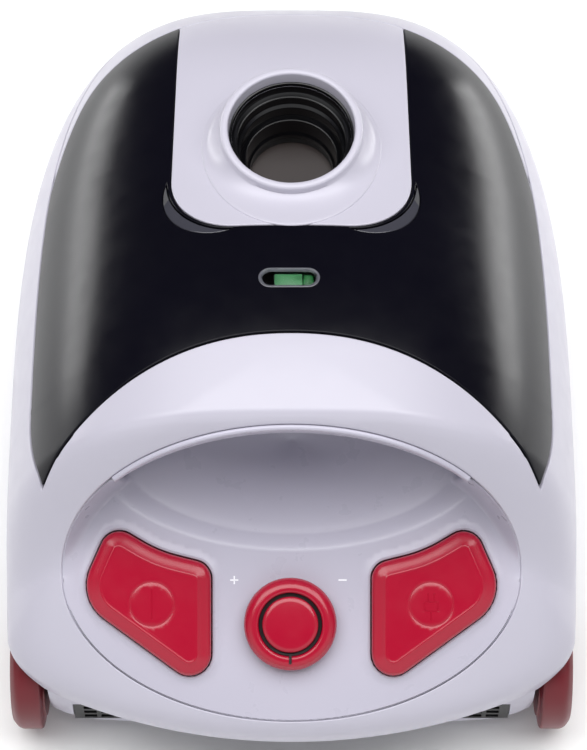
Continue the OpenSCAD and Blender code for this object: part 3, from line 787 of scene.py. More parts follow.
WHEEL_LOW, WHEEL_HIGH = cad_box("rear_wheel_right")
WHEEL_Y = (WHEEL_LOW[1] + WHEEL_HIGH[1]) / 2
WHEEL_R = (WHEEL_HIGH[1] - WHEEL_LOW[1]) / 2
WELL_R = WHEEL_R + 3.0
WELL_X = WHEEL_LOW[0] - 2.5


def well_line(side):
    """Edge of the wheel well in the domain, just above the lower seam."""
    y = WHEEL_Y + np.linspace(-1.0, 1.0, 41) * math.sqrt(WELL_R**2 - (SEAM_Z - WHEEL_R - 0.5) ** 2)
    z = WHEEL_R + np.sqrt(WELL_R**2 - (y - WHEEL_Y) ** 2)
    x = np.interp(y, BELT[::-1, 1], BELT[::-1, 0])
    edge = np.column_stack([x * side, y])
    rise = np.clip((z - BELT_Z) / (ridge_z(y) - BELT_Z), 0.0, 1.0)
    distance = np.interp(-np.arcsin(rise), -PHI, ARC) * reach(edge) + np.maximum(BELT_Z - z, 0.0)
    return from_spine_by(edge, distance)


def in_well(points):
    return (np.abs(points[:, 0]) > WELL_X) & (
        np.hypot(points[:, 1] - WHEEL_Y, points[:, 2] - WHEEL_R) < WELL_R
    )


def make_upper_housing():
    drop = BELT_Z - SEAM_Z

    def keep(q):
        points = dome(q)
        return (
            (from_spine(q)[2] < reach(q) * ARC_END + drop)
            & ~in_cover(points[:, :2], COVER_GAP)
            & ~in_panel_opening(points)
            & ~in_well(points)
        )

    def rim(points):
        near = np.abs(points[:, 0]) < PANEL_A
        high = smooth((points[:, 2] - 100.0) / 60.0)
        return np.where(near & (points[:, 1] < -85.0), 0.5 + 0.9 * high, 0.7)

    lines = [
        domain_line(cover_outline(COVER_GAP)),
        unroll(panel_edge_plan()),
        belt_ring(drop),
        well_line(1.0),
        well_line(-1.0),
    ]
    box = DOME_DOMAIN
    housing = shell("upper_shell", dome, lines, keep, 3.2, box, rim, WALL, SHELL, "base", "shell_grey")
    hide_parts("upper_housing")


TRIM_END_Y = 48.0
TRIM_GAP = 0.3
INLET_GAP = 0.4
TRIM_HALF = [
    (120.6, 40.0), (120.0, 48.0), (118.0, 60.0), (114.8, 75.0), (110.2, 92.0), (104.5, 108.0), (98.0, 120.0),
    (89.0, 129.0), (76.0, 137.3), (56.0, 145.2), (40.0, 149.6), (20.0, 153.0), (0.0, 154.2),
]


def trim_line(grow):
    """The line in plan between the cover's dark top and its pale front border."""
    half = np.array(TRIM_HALF)
    line = np.vstack([half, mirror_x(half)[1:]])
    for _ in range(3):
        cut = np.vstack([0.75 * line[:-1] + 0.25 * line[1:], 0.25 * line[:-1] + 0.75 * line[1:]])
        order = np.arange(2 * (len(line) - 1)).reshape(2, -1).T.ravel()
        line = np.vstack([line[:1], cut[order], line[-1:]])
    ahead = unit_rows(np.gradient(line, axis=0))
    return line + np.column_stack([ahead[:, 1], -ahead[:, 0]]) * grow


def in_main(plan, grow):
    """Inside the border, or behind where it ends."""
    line = trim_line(grow)
    area = np.vstack([[(140.0, -300.0), (140.0, 39.0)], line, [(-140.0, 39.0), (-140.0, -300.0)]])
    return (plan[:, 1] < TRIM_END_Y) | inside(area, plan)


def trim_cut(grow, side):
    """Short domain line across the border's end."""
    edge = trim_line(grow)
    right = edge[edge[:, 0] > 0]
    x0 = np.interp(TRIM_END_Y, right[:, 1], right[:, 0])
    return domain_line(np.array([(side * x0, TRIM_END_Y), (side * 122.0, TRIM_END_Y)]))


def make_cover_trim():
    """The pale border along the cover's front edge."""

    def keep(q):
        plan = dome(q)[:, :2]
        return in_cover(plan, 0.0) & (plan[:, 1] > TRIM_END_Y) & ~in_main(plan, TRIM_GAP)

    lines = [
        domain_line(cover_outline(0.0)),
        domain_line(trim_line(TRIM_GAP)),
        trim_cut(TRIM_GAP, 1),
        trim_cut(TRIM_GAP, -1),
    ]
    shell("cover_trim", dome, lines, keep, 2.6, DOME_DOMAIN, 0.5, WALL, SHELL, "bag_cover", "shell_grey")


def make_hood():
    moon = crescent_outline(0.0)

    def keep(q):
        plan = dome(q)[:, :2]
        folded = np.column_stack([np.abs(plan[:, 0]), plan[:, 1]])
        return (
            in_cover(plan, 0.0)
            & in_main(plan, -TRIM_GAP)
            & ~inside(inlet_outline(INLET_GAP), plan)
            & ~inside(moon, folded)
            & ~inside(window_outline(0.0), plan)
        )

    lines = [
        domain_line(cover_outline(0.0)),
        domain_line(closed(inlet_outline(INLET_GAP))),
        domain_line(trim_line(-TRIM_GAP)),
        trim_cut(-TRIM_GAP, 1),
        trim_cut(-TRIM_GAP, -1),
        domain_line(moon),
        domain_line(mirror_x(moon)),
        domain_line(window_outline(0.0)),
    ]
    box = DOME_DOMAIN
    hood = shell("hood_shell", dome, lines, keep, 2.8, box, 0.6, WALL, HOOD, "bag_cover", "hood_black")
    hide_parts("hood")


COLLAR_HOLE_R = 36.0
FLARE_SIDE_R = 42.0
FLARE_FRONT_R = 41.0
FLARE_REAR_R = 51.0
COLLAR_R = 33.0
COLLAR_TOP = 199.0


def make_inlet_panel():
    centre = np.array([0.0, INLET_Y])

    def keep(q):
        plan = dome(q)[:, :2]
        return (
            in_cover(plan, 0.0)
            & in_main(plan, -TRIM_GAP)
            & inside(inlet_outline(0.0), plan)
            & (np.hypot(*(plan - centre).T) > COLLAR_HOLE_R)
        )

    lines = [
        domain_line(cover_outline(0.0)),
        domain_line(closed(inlet_outline(0.0))),
        domain_line(trim_line(-TRIM_GAP)),
        domain_line(arc(centre, COLLAR_HOLE_R, 0, 360, 121)),
    ]
    box = DOME_DOMAIN
    panel = shell("inlet_shell", dome, lines, keep, 2.8, box, 0.7, WALL, SHELL, "bag_cover", "shell_grey")
    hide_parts("inlet_panel")


def make_collar():
    """The raised collar: a flare that follows the panel, a rolled lip and a short inner wall."""
    around = 192
    angles = np.linspace(0, 2 * math.pi, around, endpoint=False)
    ring = np.column_stack([np.cos(angles), np.sin(angles)])
    along = np.where(ring[:, 1] < 0, FLARE_REAR_R, FLARE_FRONT_R)
    foot = 1.0 / np.hypot(ring[:, 0] / FLARE_SIDE_R, ring[:, 1] / along)
    step = 0.15 + 0.5 * smooth((0.35 - ring[:, 1]) / 0.9)
    points = []

    def row(radius, z):
        radius, z = np.broadcast_arrays(radius, z + 0.0 * angles)
        points.append(np.column_stack([ring * radius[:, None] + (0.0, INLET_Y), z]))

    def ground(radius):
        return top_z(ring * radius[:, None] + (0.0, INLET_Y))

    row(foot - 3.0, ground(foot - 3.0) - 3.4)
    row(foot, ground(foot) - 1.2)
    row(foot, ground(foot) - 0.1)
    row(foot - 0.25, ground(foot) + step * 0.6)
    row(foot - 0.9, ground(foot - 0.9) + step)
    for t in np.linspace(0.06, 1.0, 22):
        radius = foot - 0.9 + t * (COLLAR_R + 0.4 - foot + 0.9)
        base = ground(radius) + step
        row(radius, base + (COLLAR_TOP - 4.2 - base) * t**2.2)
    lip = [(33.3, -2.2, 0), (32.8, 0.0, 1.5), (29.4, 0.0, 1.4), (29.1, -8.0, 0.0)]
    for r, z in round_profile(lip, 6)[1:]:
        row(r, COLLAR_TOP + z)
    row(27.8, COLLAR_TOP - 8.6)
    row(27.8, COLLAR_TOP - 34.0)
    faces = ring_faces(len(points), around)
    collar = new_piece("collar_flare", np.vstack(points), faces, SHELL, "bag_cover", "shell_grey")
    recalc(collar)
    smooth_by_angle(collar, 60)

    def place(r, a, z):
        return np.column_stack([r * np.cos(a), INLET_Y + r * np.sin(a), z])

    steps = [
        (28.9, 190.4, 0), (28.9, 192.6, 0.4), (28.0, 192.4, 0.3), (27.4, 186.0, 0.3), (25.7, 184.4, 0.3),
        (25.2, 184.6, 0.2), (24.9, 180.0, 0.3), (23.4, 178.6, 0.3), (23.25, 173.0, 0.3), (21.6, 170.6, 0.3),
        (21.2, 170.8, 0.2), (20.6, 162.0, 0.4), (19.6, 160.6, 0.3), (19.6, 157.6, 0.0), (22.0, 157.6, 0.0),
        (23.0, 168.0, 0.0), (26.5, 177.5, 0.0), (27.8, 184.0, 0.0), (28.9, 190.3, 0.0),
    ]
    sleeve = lathe("socket_sleeve", round_profile(steps, 4), place, SOCKET, "bag_cover", "shell_grey", 160)
    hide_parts("inlet_collar")


# ---------- control panel, hand recess and controls ----------
BOWL_V = 58.0
BOWL_A = 95.5
BOWL_LOW = 51.0
BOWL_HIGH = 60.0
LINER_FROM = math.radians(42.5)
LINER_TO = math.radians(137.5)
BUTTON_CORNERS = [(-37, 0.8, 8.5), (-61, 6.8, 60), (-83.5, 20, 9), (-99, -15, 19), (-37, -60, 10)]
BUTTON_SYMBOL_AT = (-64.2, -17.2)
DIAL_AT = (-0.5, -26.4)


def bowl_share(u, v):
    half = np.where(v < BOWL_V, BOWL_LOW, BOWL_HIGH)
    return np.hypot(u / BOWL_A, (v - BOWL_V) / half)


def bowl_depth(u, v):
    """A scoop: a rounded edge, a sloped border, then a gentler fall towards the arch."""
    t = np.maximum((1.0 - bowl_share(u, v)) * BOWL_LOW, 0.0)
    border = np.minimum(t, 8.0)
    eased = 0.55 * border * border / (border + 1.6) + 0.10 * np.maximum(t - 8.0, 0.0)
    fall = 0.30 * np.maximum(t - 7.0, 0.0) ** 2 / (np.maximum(t - 7.0, 0.0) + 2.0)
    return eased + fall


def edge_distance(outline, points):
    """Shortest distance from each point to a closed outline."""
    best = np.full(len(points), 1e9)
    for a, b in zip(outline, np.roll(outline, -1, axis=0)):
        d = b - a
        t = np.clip((points - a) @ d / max(d @ d, 1e-9), 0.0, 1.0)
        best = np.minimum(best, np.hypot(*(points - a - t[:, None] * d).T))
    return best


def panel_w(uv):
    """Height of the panel's own surface above its plane."""
    u, v = uv[:, 0], uv[:, 1]
    du, dv = u / PANEL_A, (v - PANEL_MID_V) / PANEL_B
    e = np.hypot(du, dv)
    slope = np.hypot(du / PANEL_A, dv / PANEL_B) / np.maximum(e, 1e-6)
    gap = np.maximum((1.0 - e) / np.maximum(slope, 1e-9), 0.0)
    angle = np.arctan2(dv, du)
    height = rim_w(angle)
    width = 14.0 - 7.0 * smooth((height + 2.0) / 10.0)
    wall = height * np.clip(1.0 - gap / width, 0.0, 1.0) ** 2.2
    fade = smooth((np.sin(angle) - math.sin(LINER_FROM) + 0.03) / 0.03)
    wall = wall * (1.0 - fade)
    folded = np.column_stack([-np.abs(u), v])
    from_button = edge_distance(rounded(BUTTON_CORNERS, -0.5, 6), folded)
    lip = 0.7 * np.clip(1.0 - np.abs(from_button - 1.3) / 2.4, 0.0, 1.0) ** 1.5
    return wall + lip - bowl_depth(u, v)


def panel_lift(q):
    return tilted(q[:, 0], q[:, 1], panel_w(q))


def bar_corners(half_u, half_v):
    return np.array([(-half_u, -half_v), (half_u, -half_v), (half_u, half_v), (-half_u, half_v)])


def panel_blocks(bars, low, high):
    """Points and faces of flat bars (u, v, half u, half v) from low to high above the panel's plane."""
    points, faces = [], []
    for u, v, half_u, half_v in bars:
        o = 4 * len(points)
        corners = bar_corners(half_u, half_v) + (u, v)
        points += [tilted(*corners.T, w) for w in (low, high)]
        faces += [(o, o + 3, o + 2, o + 1), (o + 4, o + 5, o + 6, o + 7)]
        faces += [(o + k, o + (k + 1) % 4, o + 4 + (k + 1) % 4, o + 4 + k) for k in range(4)]
    return np.vstack(points), faces


def make_control_panel():
    hole = rounded(BUTTON_CORNERS, -0.5, 8)

    def keep(q):
        e = np.hypot(q[:, 0] / (PANEL_A - 0.5), (q[:, 1] - PANEL_MID_V) / (PANEL_B - 0.5))
        folded = np.column_stack([-np.abs(q[:, 0]), q[:, 1]])
        return (e < 1.0) & ~inside(hole, folded)

    lines = [ellipse(ELLIPSE_STEPS, -0.5)]
    for inset in (0.9, 1.7, 2.8, 4.0, 5.5, 7.2, 9.2, 11.5):
        lines.append(ellipse(ELLIPSE_STEPS[::2], -inset))
    outlines = [hole, mirror_x(hole)]
    lips = [rounded(BUTTON_CORNERS, -grow, 8) for grow in (1.3, 2.2, 3.4)]
    outlines += lips + [mirror_x(lip) for lip in lips]
    lines += [dense(closed(outline), 1.5) for outline in outlines]
    around = np.linspace(math.pi, 2 * math.pi, 121)
    for share in (1.015, 0.995, 0.975, 0.95, 0.865, 0.84, 0.81):
        u = BOWL_A * share * np.cos(around)
        lines.append(np.column_stack([u, BOWL_V + BOWL_LOW * share * np.sin(around)]))
    box = ((-PANEL_A - 2, -75.0), (PANEL_A + 2, 70.0))
    panel = shell("panel_shell", panel_lift, lines, keep, 2.3, box, 0.6, 2.2, PANEL, "base", "shell_grey")
    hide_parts("control_panel")
    for name, u, count in (("mark_plus", -26.4, 2), ("mark_minus", 23.6, 1)):
        bars = [(u, -6.4, 1.9, 0.3), (u, -6.4, 0.3, 1.9)][:count]
        sign = new_piece(name, *panel_blocks(bars, -0.2, 0.12), MARK, "base", "shell_grey")
        smooth_by_angle(sign, 30)


def make_handle_liner():
    """The smooth lining under the arch and its bead along the opening's edge."""
    t = np.linspace(LINER_FROM - 0.03, LINER_TO + 0.03, 241)
    share = ((np.sin(t) - math.sin(LINER_FROM)).clip(0) / (1.0 - math.sin(LINER_FROM))) ** 0.6
    bulge = 2.0 * share + 0.6
    height = np.maximum(rim_w(t), 3.0)
    edge = ellipse(t)
    slope = unit_rows(np.column_stack([edge[:, 0] / PANEL_A**2, (edge[:, 1] - PANEL_MID_V) / PANEL_B**2]))
    rows = []

    def row(inward, w):
        uv = edge - slope * (inward + 0.0 * t)[:, None]
        rows.append(tilted(uv[:, 0], uv[:, 1], w))

    for a in np.radians(np.linspace(170, -70, 17)):
        row(0.85 - 1.25 * np.cos(a), height - 0.55 + 1.25 * np.sin(a))
    row(1.4, height - 3.2)
    curve = [
        (1.3, height - 4.0), (0.5 + 0.5 * bulge, 0.80 * height - 3.0), (0.3 + 0.9 * bulge, 0.55 * height),
        (0.3 + 0.9 * bulge, 0.25 * height), (0.3 + 0.6 * bulge, -1.0),
        (0.3, panel_w(ellipse(t, -1.2)) - 0.6),
    ]
    curve = [np.stack([inward + 0.0 * t, w + 0.0 * t]) for inward, w in curve]
    for k in range(len(curve) - 1):
        before = curve[max(k - 1, 0)]
        after = curve[min(k + 2, len(curve) - 1)]
        for s in np.linspace(0, 1, 7)[:-1]:
            h00, h10 = 2 * s**3 - 3 * s**2 + 1, s**3 - 2 * s**2 + s
            h01, h11 = -2 * s**3 + 3 * s**2, s**3 - s**2
            m0, m1 = (curve[k + 1] - before) / 2, (after - curve[k]) / 2
            row(*(h00 * curve[k] + h10 * m0 + h01 * curve[k + 1] + h11 * m1))
    row(*curve[-1])
    faces = loft_faces(len(rows), len(t), False)
    piece = new_piece("liner_shell", np.vstack(rows), faces, PANEL, "base", "shell_grey")
    thicken(piece, 1.2, 1.0)
    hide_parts("handle_liner")


FACE_W = 6.95
SYMBOL_RING_R = 10.1


def symbol_height(uv, bars):
    """Sinks thin grooves, a ring and bars (u, v, half u, half v), below the button's face."""
    depth = np.clip(1.6 - np.abs(np.hypot(*uv.T) - SYMBOL_RING_R) / 0.25, 0.0, 1.0)
    for u, v, half_u, half_v in bars:
        outside = np.maximum(np.abs(uv[:, 0] - u) - half_u, np.abs(uv[:, 1] - v) - half_v)
        depth = np.maximum(depth, np.clip(1.0 - outside / 0.2, 0.0, 1.0))
    return -0.22 * depth


POWER_BARS = [(0.0, 0.0, 0.16, 6.6)]
PLUG_BARS = [
    (0.0, 0.9, 3.0, 0.16), (0.0, -3.2, 3.0, 0.16), (-3.0, -1.15, 0.16, 2.0), (3.0, -1.15, 0.16, 2.0),
    (-1.5, 3.0, 0.16, 1.8), (1.5, 3.0, 0.16, 1.8), (0.0, -5.4, 0.16, 1.8),
]


def make_button(name, side, bars):
    """A large hollow key: a straight skirt, a wide bevel and a flat face with its symbol."""
    rings = [
        (1.2, 2.5), (1.2, -5.0), (0.0, -5.0), (0.0, 2.2), (0.12, 3.0), (0.45, 3.9), (1.1, 4.6), (2.2, 5.15),
        (3.6, 5.75), (5.0, 6.35), (5.9, 6.85), (6.2, 7.04), (6.5, 7.10), (6.8, 7.04), (7.2, 6.95),
        (7.8, FACE_W),
    ]

    def outline(inset):
        points = rounded(BUTTON_CORNERS, inset, 10)
        return points if side < 0 else mirror_x(points)

    loops = [outline(inset) for inset, _ in rings]
    around = len(loops[0])
    points = [tilted(p[:, 0], p[:, 1], w) for p, (_, w) in zip(loops, rings)]
    faces = loft_faces(len(rings), around)
    centre = np.array([side * -BUTTON_SYMBOL_AT[0], BUTTON_SYMBOL_AT[1]])
    face_edge = loops[-1]

    def keep(q):
        return inside(face_edge, q)

    lines = [closed(face_edge)]
    for radius in (9.55, 9.85, 10.0, 10.2, 10.35, 10.65):
        lines.append(arc(centre, radius, 0, 360, 145))
    for u, v, half_u, half_v in bars:
        for grow in (0.0, 0.2):
            box = closed(bar_corners(half_u + grow, half_v + grow))
            lines.append(dense(centre + (u, v) + box, 0.8))
    low, high = face_edge.min(0) - 1, face_edge.max(0) + 1
    q, top = triangulate(lines, keep, 1.7, low, high)
    w = FACE_W + symbol_height(q - centre, bars)
    offset = len(rings) * around
    points.append(tilted(q[:, 0], q[:, 1], w))
    faces += [tuple(offset + f) for f in top]
    faces.append(tuple(range(around)))
    piece = new_piece(name + "_key", np.vstack(points), faces, RED, name, "control_red")
    recalc(piece, 2e-6)
    smooth_by_angle(piece, 40)
    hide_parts(name)


def on_panel(r, a, w):
    return tilted(DIAL_AT[0] + r * np.cos(a), DIAL_AT[1] + r * np.sin(a), w)


def make_dial():
    ring = [
        (14.7, 0.6, 0), (21.2, 0.6, 0.4), (21.45, 4.9, 1.0), (20.4, 7.6, 1.6), (17.6, 9.4, 1.6),
        (15.3, 9.2, 0.6), (14.6, 8.2, 0.5), (14.6, 3.4, 0.0),
    ]
    grip = lathe("dial_grip", round_profile(ring, 6), on_panel, RED, "power_dial", "control_red", 160)
    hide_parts("dial_ring")
    # A black ring down in the groove between the grip and the cap: painted shade for the shadowed groove.
    groove_shade = [(12.0, 2.4, 0), (14.9, 2.4, 0), (14.9, 5.0, 0), (14.4, 5.6, 0), (13.4, 5.2, 0), (12.0, 5.2, 0)]
    lathe("dial_trough", round_profile(groove_shade), on_panel, GRILLE, "power_dial", "grille_black", 128)
    cap = [
        (0.05, 3.0, 0), (12.75, 3.0, 0), (12.9, 8.2, 0.7), (11.6, 9.15, 1.2), (6.0, 9.45, 2.0),
        (0.05, 9.5, 0),
    ]
    face = lathe("dial_face", round_profile(cap, 6), on_panel, RED, "power_dial", "control_red", 128)
    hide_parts("dial_cap")
    bar = (DIAL_AT[0], DIAL_AT[1] - 16.1, 0.6, 1.9)
    block = panel_blocks([bar], 8.0, 9.62)
    pointer = new_piece("dial_pointer", *block, GRILLE, "power_dial", "grille_black")
    edge = pointer.modifiers.new("edge", "BEVEL")
    edge.width = 0.15 * MM
    edge.segments = 2
    smooth_by_angle(pointer, 30)


# ---------- wheels ----------
def make_rear_wheel(side):
    hand = "right" if side > 0 else "left"
    name = "rear_wheel_" + hand
    low, high = cad_box(name)
    cap_low, cap_high = cad_box("hub_cap_" + hand)
    centre_y, centre_z = (low[1] + high[1]) / 2, (low[2] + high[2]) / 2
    radius = (high[2] - low[2]) / 2
    inner_x = min(abs(low[0]), abs(high[0]))
    outer_x = max(abs(low[0]), abs(high[0]))

    def place(r, a, x):
        return np.column_stack([side * x, centre_y + r * np.cos(a), centre_z + r * np.sin(a)])

    bore = 4.3
    tyre = [
        (bore, inner_x, 0.0), (radius - 6.5, inner_x, 0.0), (radius - 6.0, inner_x + 0.8, 0.6),
        (radius, inner_x + 1.6, 1.4), (radius, outer_x - 4.2, 2.6), (radius - 4.5, outer_x - 0.9, 1.2),
        (radius - 7.0, outer_x - 1.9, 0.6), (radius - 9.0, outer_x - 4.2, 1.2),
        (15.0, outer_x - 3.6, 1.0), (12.5, outer_x - 1.6, 0.8), (bore, outer_x - 1.6, 0.0),
    ]
    piece = lathe(name + "_tyre", round_profile(tyre, 5), place, WHEEL_RED, name, "wheel_red", 144)
    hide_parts(name)
    cap_r = (cap_high[2] - cap_low[2]) / 2
    cap_x = max(abs(cap_low[0]), abs(cap_high[0]))
    cap = [
        (0.05, outer_x - 1.9, 0.0), (cap_r - 0.6, outer_x - 1.9, 0.0), (cap_r, outer_x - 1.4, 0.4),
        (cap_r - 0.5, cap_x - 0.5, 0.7), (cap_r * 0.5, cap_x, 1.5), (0.05, cap_x, 0.0),
    ]
    hub = lathe(name + "_cap", round_profile(cap, 5), place, MID, name, "inner_grey", 96)
    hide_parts("hub_cap_" + hand)


# ---------- latch pads, window and flag ----------
def make_latch_pads():
    """The two finger pads of the cover's latch, at the inlet panel's rear corners."""
    right = crescent_outline(-0.35)
    cut = inlet_outline(0.6)
    box = ((-75.0, -20.0), (75.0, 60.0))

    def lift(q):
        return dome(q) - (0.0, 0.0, 0.9)

    for name, moon in (("latch_pad_right", right), ("latch_pad_left", mirror_x(right))):

        def keep(q, moon=moon):
            plan = dome(q)[:, :2]
            return inside(moon, plan) & ~inside(cut, plan)

        lines = [domain_line(moon), domain_line(closed(cut))]
        shell(name, lift, lines, keep, 1.8, box, 0.5, 1.6, PAD, "cover_latch", "inner_dark")


def make_window():
    """A bevelled frame round the window and the flag behind it."""
    section = (
        (0.45, 0.9), (0.45, -0.06), (0.2, -0.16), (-0.25, -0.05), (-1.3, 0.9), (-1.3, 1.3), (0.45, 1.3),
    )
    points = []
    for grow, drop in section:
        outline = window_outline(grow)[:-1]
        points.append(np.column_stack([outline, top_z(outline) - drop]))
    faces = ring_faces(len(points), len(points[0]))
    border = new_piece("window_frame", np.vstack(points), faces, FRAME_GREY, "bag_cover", "hood_black")
    recalc(border)
    smooth_by_angle(border, 40)
    low, high = cad_box("indicator_flag")
    parts = (
        ("flag_bar", low[0] + 0.4, 5.0, 0.0, GREEN),
        ("flag_end", 5.1, 10.2, 0.9, DEEP_GREEN),
    )
    for name, x0, x1, lower, material in parts:
        middle = ((low[1] + high[1]) / 2, (low[2] + high[2] - lower) / 2)
        half = ((high[1] - low[1]) / 2 - 0.6, (high[2] - low[2] - lower) / 2)
        section = rounded(np.column_stack([bar_corners(*half), (0.6, 0.6, 1.4, 1.4)]), 0.0, 5)
        rows = []
        for x, inset in ((x0, 0.3), (x0 + 0.3, 0.0), (x1 - 0.3, 0.0), (x1, 0.3)):
            share = 1.0 - inset / half[1]
            rows.append(np.column_stack([np.full(len(section), x), section * share + middle]))
        count = len(section)
        faces = loft_faces(4, count)
        faces += [tuple(range(count))[::-1], tuple(range(3 * count, 4 * count))]
        flag = new_piece(name, np.vstack(rows), faces, material, "indicator", "flag_green")
        recalc(flag)
        smooth_by_angle(flag, 50)
    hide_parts("indicator_flag")


# ---------- soft pieces ----------
def ray_radius(node, origin, directions):
    """How far the CAD node's outside lies from origin along each direction, in millimetres."""
    tree = BVHTree.FromObject(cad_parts[node], bpy.context.evaluated_depsgraph_get())
    out = []
    start = Vector(origin * MM)
    for d in directions:
        hit = tree.ray_cast(start, Vector(d))
        out.append(hit[3] / MM if hit[0] is not None else 0.0)
    return np.array(out)


def make_dust_bag():
    """A puffed fleece bag: crowned faces, a welded seam round its middle and soft creases."""
    low, high = cad_box("dust_bag")
    origin = (low + high) / 2
    lat_count, lon_count = 72, 168
    lat = np.radians(np.linspace(-89.0, 89.0, lat_count))
    lon = np.linspace(0, 2 * math.pi, lon_count, endpoint=False)
    la, lo = np.meshgrid(lat, lon, indexing="ij")
    around = np.stack([np.cos(la) * np.cos(lo), np.cos(la) * np.sin(lo), np.sin(la)], -1)
    d = unit_rows((around * (high - low) / 2).reshape(-1, 3))
    r = ray_radius("dust_bag", origin, d).reshape(lat_count, lon_count)
    for _ in range(6):
        below = np.vstack([r[:1], r[:-1]])
        above = np.vstack([r[1:], r[-1:]])
        r = np.minimum((r + np.roll(r, 1, 1) + np.roll(r, -1, 1) + below + above) / 5, r)
    d = d.reshape(lat_count, lon_count, 3)
    bend = 0.5 + 0.5 * np.cos(np.degrees(la) / 90.0 * math.pi)
    creases = 0.0
    waves = ((9, 0.3, 3.0), (14, 1.9, -4.0), (23, 4.1, 6.0), (31, 2.2, -9.0))
    for k, (count, phase, tilt) in enumerate(waves):
        creases = creases + np.abs(np.sin(count * lo / 2 + phase + tilt * la)) / (1.6 + k)
    pinch = np.exp(-((la / 0.10) ** 2))
    r = r * (0.995 - 0.012 * creases * bend - 0.022 * pinch)
    seam = np.exp(-((la / 0.022) ** 2))
    r = r + seam * 1.6
    points = (origin + d * r[..., None]).reshape(-1, 3)
    faces = loft_faces(lat_count, lon_count)
    faces.append(tuple(range(lon_count))[::-1])
    faces.append(tuple((lat_count - 1) * lon_count + k for k in range(lon_count)))
    bag = new_piece("bag_fleece", points, faces, BAG, "base", "bag_paper")
    recalc(bag)
    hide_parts("dust_bag")


def make_motor_filter():
    """A round foam pad with a soft edge, held against its grid."""
    low, high = cad_box("motor_filter")
    middle = (low + high) / 2
    radius = (high[0] - low[0]) / 2
    back, front = low[1], high[1]
    crown = (front - back) / 10

    def place(r, a, y):
        return np.column_stack([middle[0] + r * np.cos(a), y, middle[2] + r * np.sin(a)])

    profile = [
        (0.05, back, 0), (radius * 0.6, back, 2.0), (radius, back, 1.9), (radius, front, 1.9),
        (radius * 0.6, front - crown / 2, 2.0), (0.05, front - crown, 0),
    ]
    pad = lathe("foam_disc", round_profile(profile, 6), place, FOAM, "base", "foam", 96)
    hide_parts("motor_filter")


def make_exhaust_filter():
    """A pleated block: sharp folds in front, a flat back and flat ends."""
    low, high = cad_box("exhaust_filter")
    pleats = 44
    pleat_depth = 4.6
    x = np.linspace(low[0], high[0], pleats * 8 + 1)
    wave = np.abs(((x - low[0]) / (high[0] - low[0]) * pleats) % 1.0 - 0.5) * 2.0
    front = low[1] + wave**1.3 * pleat_depth
    back = np.full(len(x), high[1])
    heights = np.linspace(low[2], high[2], 9)
    rows = [np.column_stack([x, front, np.full(len(x), z)]) for z in heights]
    rows += [np.column_stack([x, back, np.full(len(x), z)]) for z in heights[::-1]]
    count = len(x)
    total = len(rows)
    faces = loft_faces(total, count, False)
    last = (total - 1) * count
    faces += [(last + k, last + k + 1, k + 1, k) for k in range(count - 1)]
    faces.append(tuple(r * count for r in range(total)))
    faces.append(tuple(r * count + count - 1 for r in range(total))[::-1])
    block = new_piece("pleated_filter", np.vstack(rows), faces, FILTER, "base", "filter_white")
    recalc(block)
    smooth_by_angle(block, 40)
    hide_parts("exhaust_filter")


def make_grille_screen():
    """The fine black mesh behind the exhaust grille's slots, lightly corrugated."""
    low, high = cad_box("exhaust_grille")
    x = np.linspace(low[0] + 1.0, high[0] - 1.0, 421)
    ripple = 0.12 * np.sin(x * 2.4)
    rows = []
    for z in np.linspace(low[2] + 0.6, high[2] - 0.6, 30):
        y = high[1] + 0.35 + ripple + 0.06 * math.sin(z * 5.0)
        rows.append(np.column_stack([x, y, np.full(len(x), z)]))
    faces = loft_faces(len(rows), len(x), False)
    screen = new_piece("grille_screen", np.vstack(rows), faces, MESH_BLACK, "base", "grille_black")
    thicken(screen, 0.3, 0.0)


# ---------- pieces whose CAD mesh is shown ----------
def dress_cad_nodes():
    for name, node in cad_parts.items():
        slot = CAD_SLOT[name]
        if slot not in SLOT_MATERIALS:
            raise SystemExit("no material for " + slot)
        node.data.materials.clear()
        node.data.materials.append(SLOT_MATERIALS[slot])
        if node.data.has_custom_normals:
            with bpy.context.temp_override(object=node, active_object=node):
                bpy.ops.mesh.customdata_custom_splitnormals_clear()
        node.data.polygons.foreach_set("use_smooth", [True] * len(node.data.polygons))
        weld = node.modifiers.new("weld", "WELD")
        weld.merge_threshold = 1e-6
        split = node.modifiers.new("split", "EDGE_SPLIT")
        split.split_angle = math.radians(28)


# ---------- floor, light and camera ----------
FLOOR_HALF = 6.0


def make_floor():
    mesh = bpy.data.meshes.new("floor")
    corners = [(x, y, 0.0) for x, y in bar_corners(FLOOR_HALF, FLOOR_HALF).tolist()]
    mesh.from_pydata(corners, [], [(0, 1, 2, 3)])
    floor = add_object("floor", mesh)
    material, tree, shader, place = start_material("floor_white")
    two_tone(tree, shader, noise(tree, place, 2.0), (0.93, 0.93, 0.93), (0.95, 0.95, 0.95))
    shader.inputs["Roughness"].default_value = 0.9
    mesh.materials.append(material)


def area_light(name, at, target, size, radiance):
    """A soft rectangular lamp of the given brightness."""
    light = bpy.data.lights.new(name, "AREA")
    light.shape = "RECTANGLE"
    light.size, light.size_y = size
    light.energy = radiance * math.pi * size[0] * size[1]
    lamp = add_object(name, light)
    lamp.location = at
    lamp.rotation_euler = (Vector(target) - Vector(at)).to_track_quat("-Z", "Y").to_euler()
    lamp.visible_camera = False


ROOM_FAR = 0.012
ROOM_NEAR = 1.0
BACKDROP = 0.95


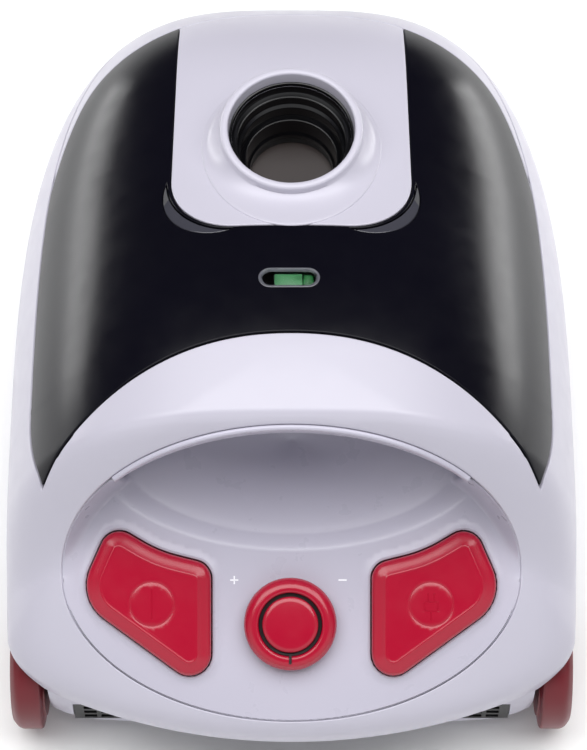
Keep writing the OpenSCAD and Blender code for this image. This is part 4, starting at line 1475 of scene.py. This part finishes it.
def make_world():
    """A pale backdrop, and a room that is dark beyond the cleaner and soft on the near side."""
    world = bpy.data.worlds.new("studio")
    world.use_nodes = True
    tree = world.node_tree
    background = tree.nodes["Background"]
    direction = tree.nodes.new("ShaderNodeTexCoord").outputs["Generated"]
    split = tree.nodes.new("ShaderNodeSeparateXYZ")
    tree.links.new(direction, split.inputs[0])
    near = spread(tree, split.outputs["Y"], ROOM_FAR, ROOM_NEAR, 0.25, -0.75, "SMOOTHSTEP")
    low = spread(tree, split.outputs["Z"], 0.0, 1.0, 0.80, 0.40, "SMOOTHSTEP")
    fill = tree.nodes.new("ShaderNodeMath")
    fill.operation = "MULTIPLY"
    tree.links.new(near, fill.inputs[0])
    tree.links.new(low, fill.inputs[1])
    seen = tree.nodes.new("ShaderNodeLightPath").outputs["Is Camera Ray"]
    mix = tree.nodes.new("ShaderNodeMix")
    mix.inputs[3].default_value = BACKDROP
    tree.links.new(seen, mix.inputs[0])
    tree.links.new(fill.outputs[0], mix.inputs[2])
    tree.links.new(mix.outputs[0], background.inputs["Strength"])
    background.inputs["Color"].default_value = (0.97, 0.98, 1.0, 1.0)
    bpy.context.scene.world = world


CAMERA_TARGET = (0.00096, -0.0185, 0.100)
CAMERA_DISTANCE = 1.5
CAMERA_ELEVATION = 62.5
CAMERA_LENS = 150.6


def light_and_camera():
    """A large lamp overhead, a low strip at each side, and a camera behind and above."""
    make_world()
    bpy.context.scene.view_settings.view_transform = "Standard"
    area_light("overhead", (0.0, 0.08, 1.75), (0.0, 0.079, 0.0), (3.0, 1.45), 4.4)
    for name, side, radiance in (("glow_left", -1.0, 4.6), ("glow_right", 1.0, 5.6)):
        area_light(name, (side * 0.52, 0.38, 0.080), (0.0, 0.10, 0.15), (0.42, 0.15), radiance)
    data = bpy.data.cameras.new("camera")
    data.lens = CAMERA_LENS
    data.sensor_width = 36.0
    camera = add_object("camera", data)
    target = Vector(CAMERA_TARGET)
    elevation = math.radians(CAMERA_ELEVATION)
    back = Vector((0.0, -math.cos(elevation), math.sin(elevation)))
    camera.location = target + back * CAMERA_DISTANCE
    camera.rotation_euler = (target - camera.location).to_track_quat("-Z", "Y").to_euler()
    bpy.context.scene.camera = camera


dress_cad_nodes()
make_upper_housing()
make_hood()
make_cover_trim()
make_inlet_panel()
make_collar()
make_control_panel()
make_handle_liner()
make_button("power_button", -1, POWER_BARS)
make_button("rewind_button", 1, PLUG_BARS)
make_dial()
make_rear_wheel(1)
make_rear_wheel(-1)
make_latch_pads()
make_window()
make_dust_bag()
make_motor_filter()
make_exhaust_filter()
make_grille_screen()
make_floor()
light_and_camera()
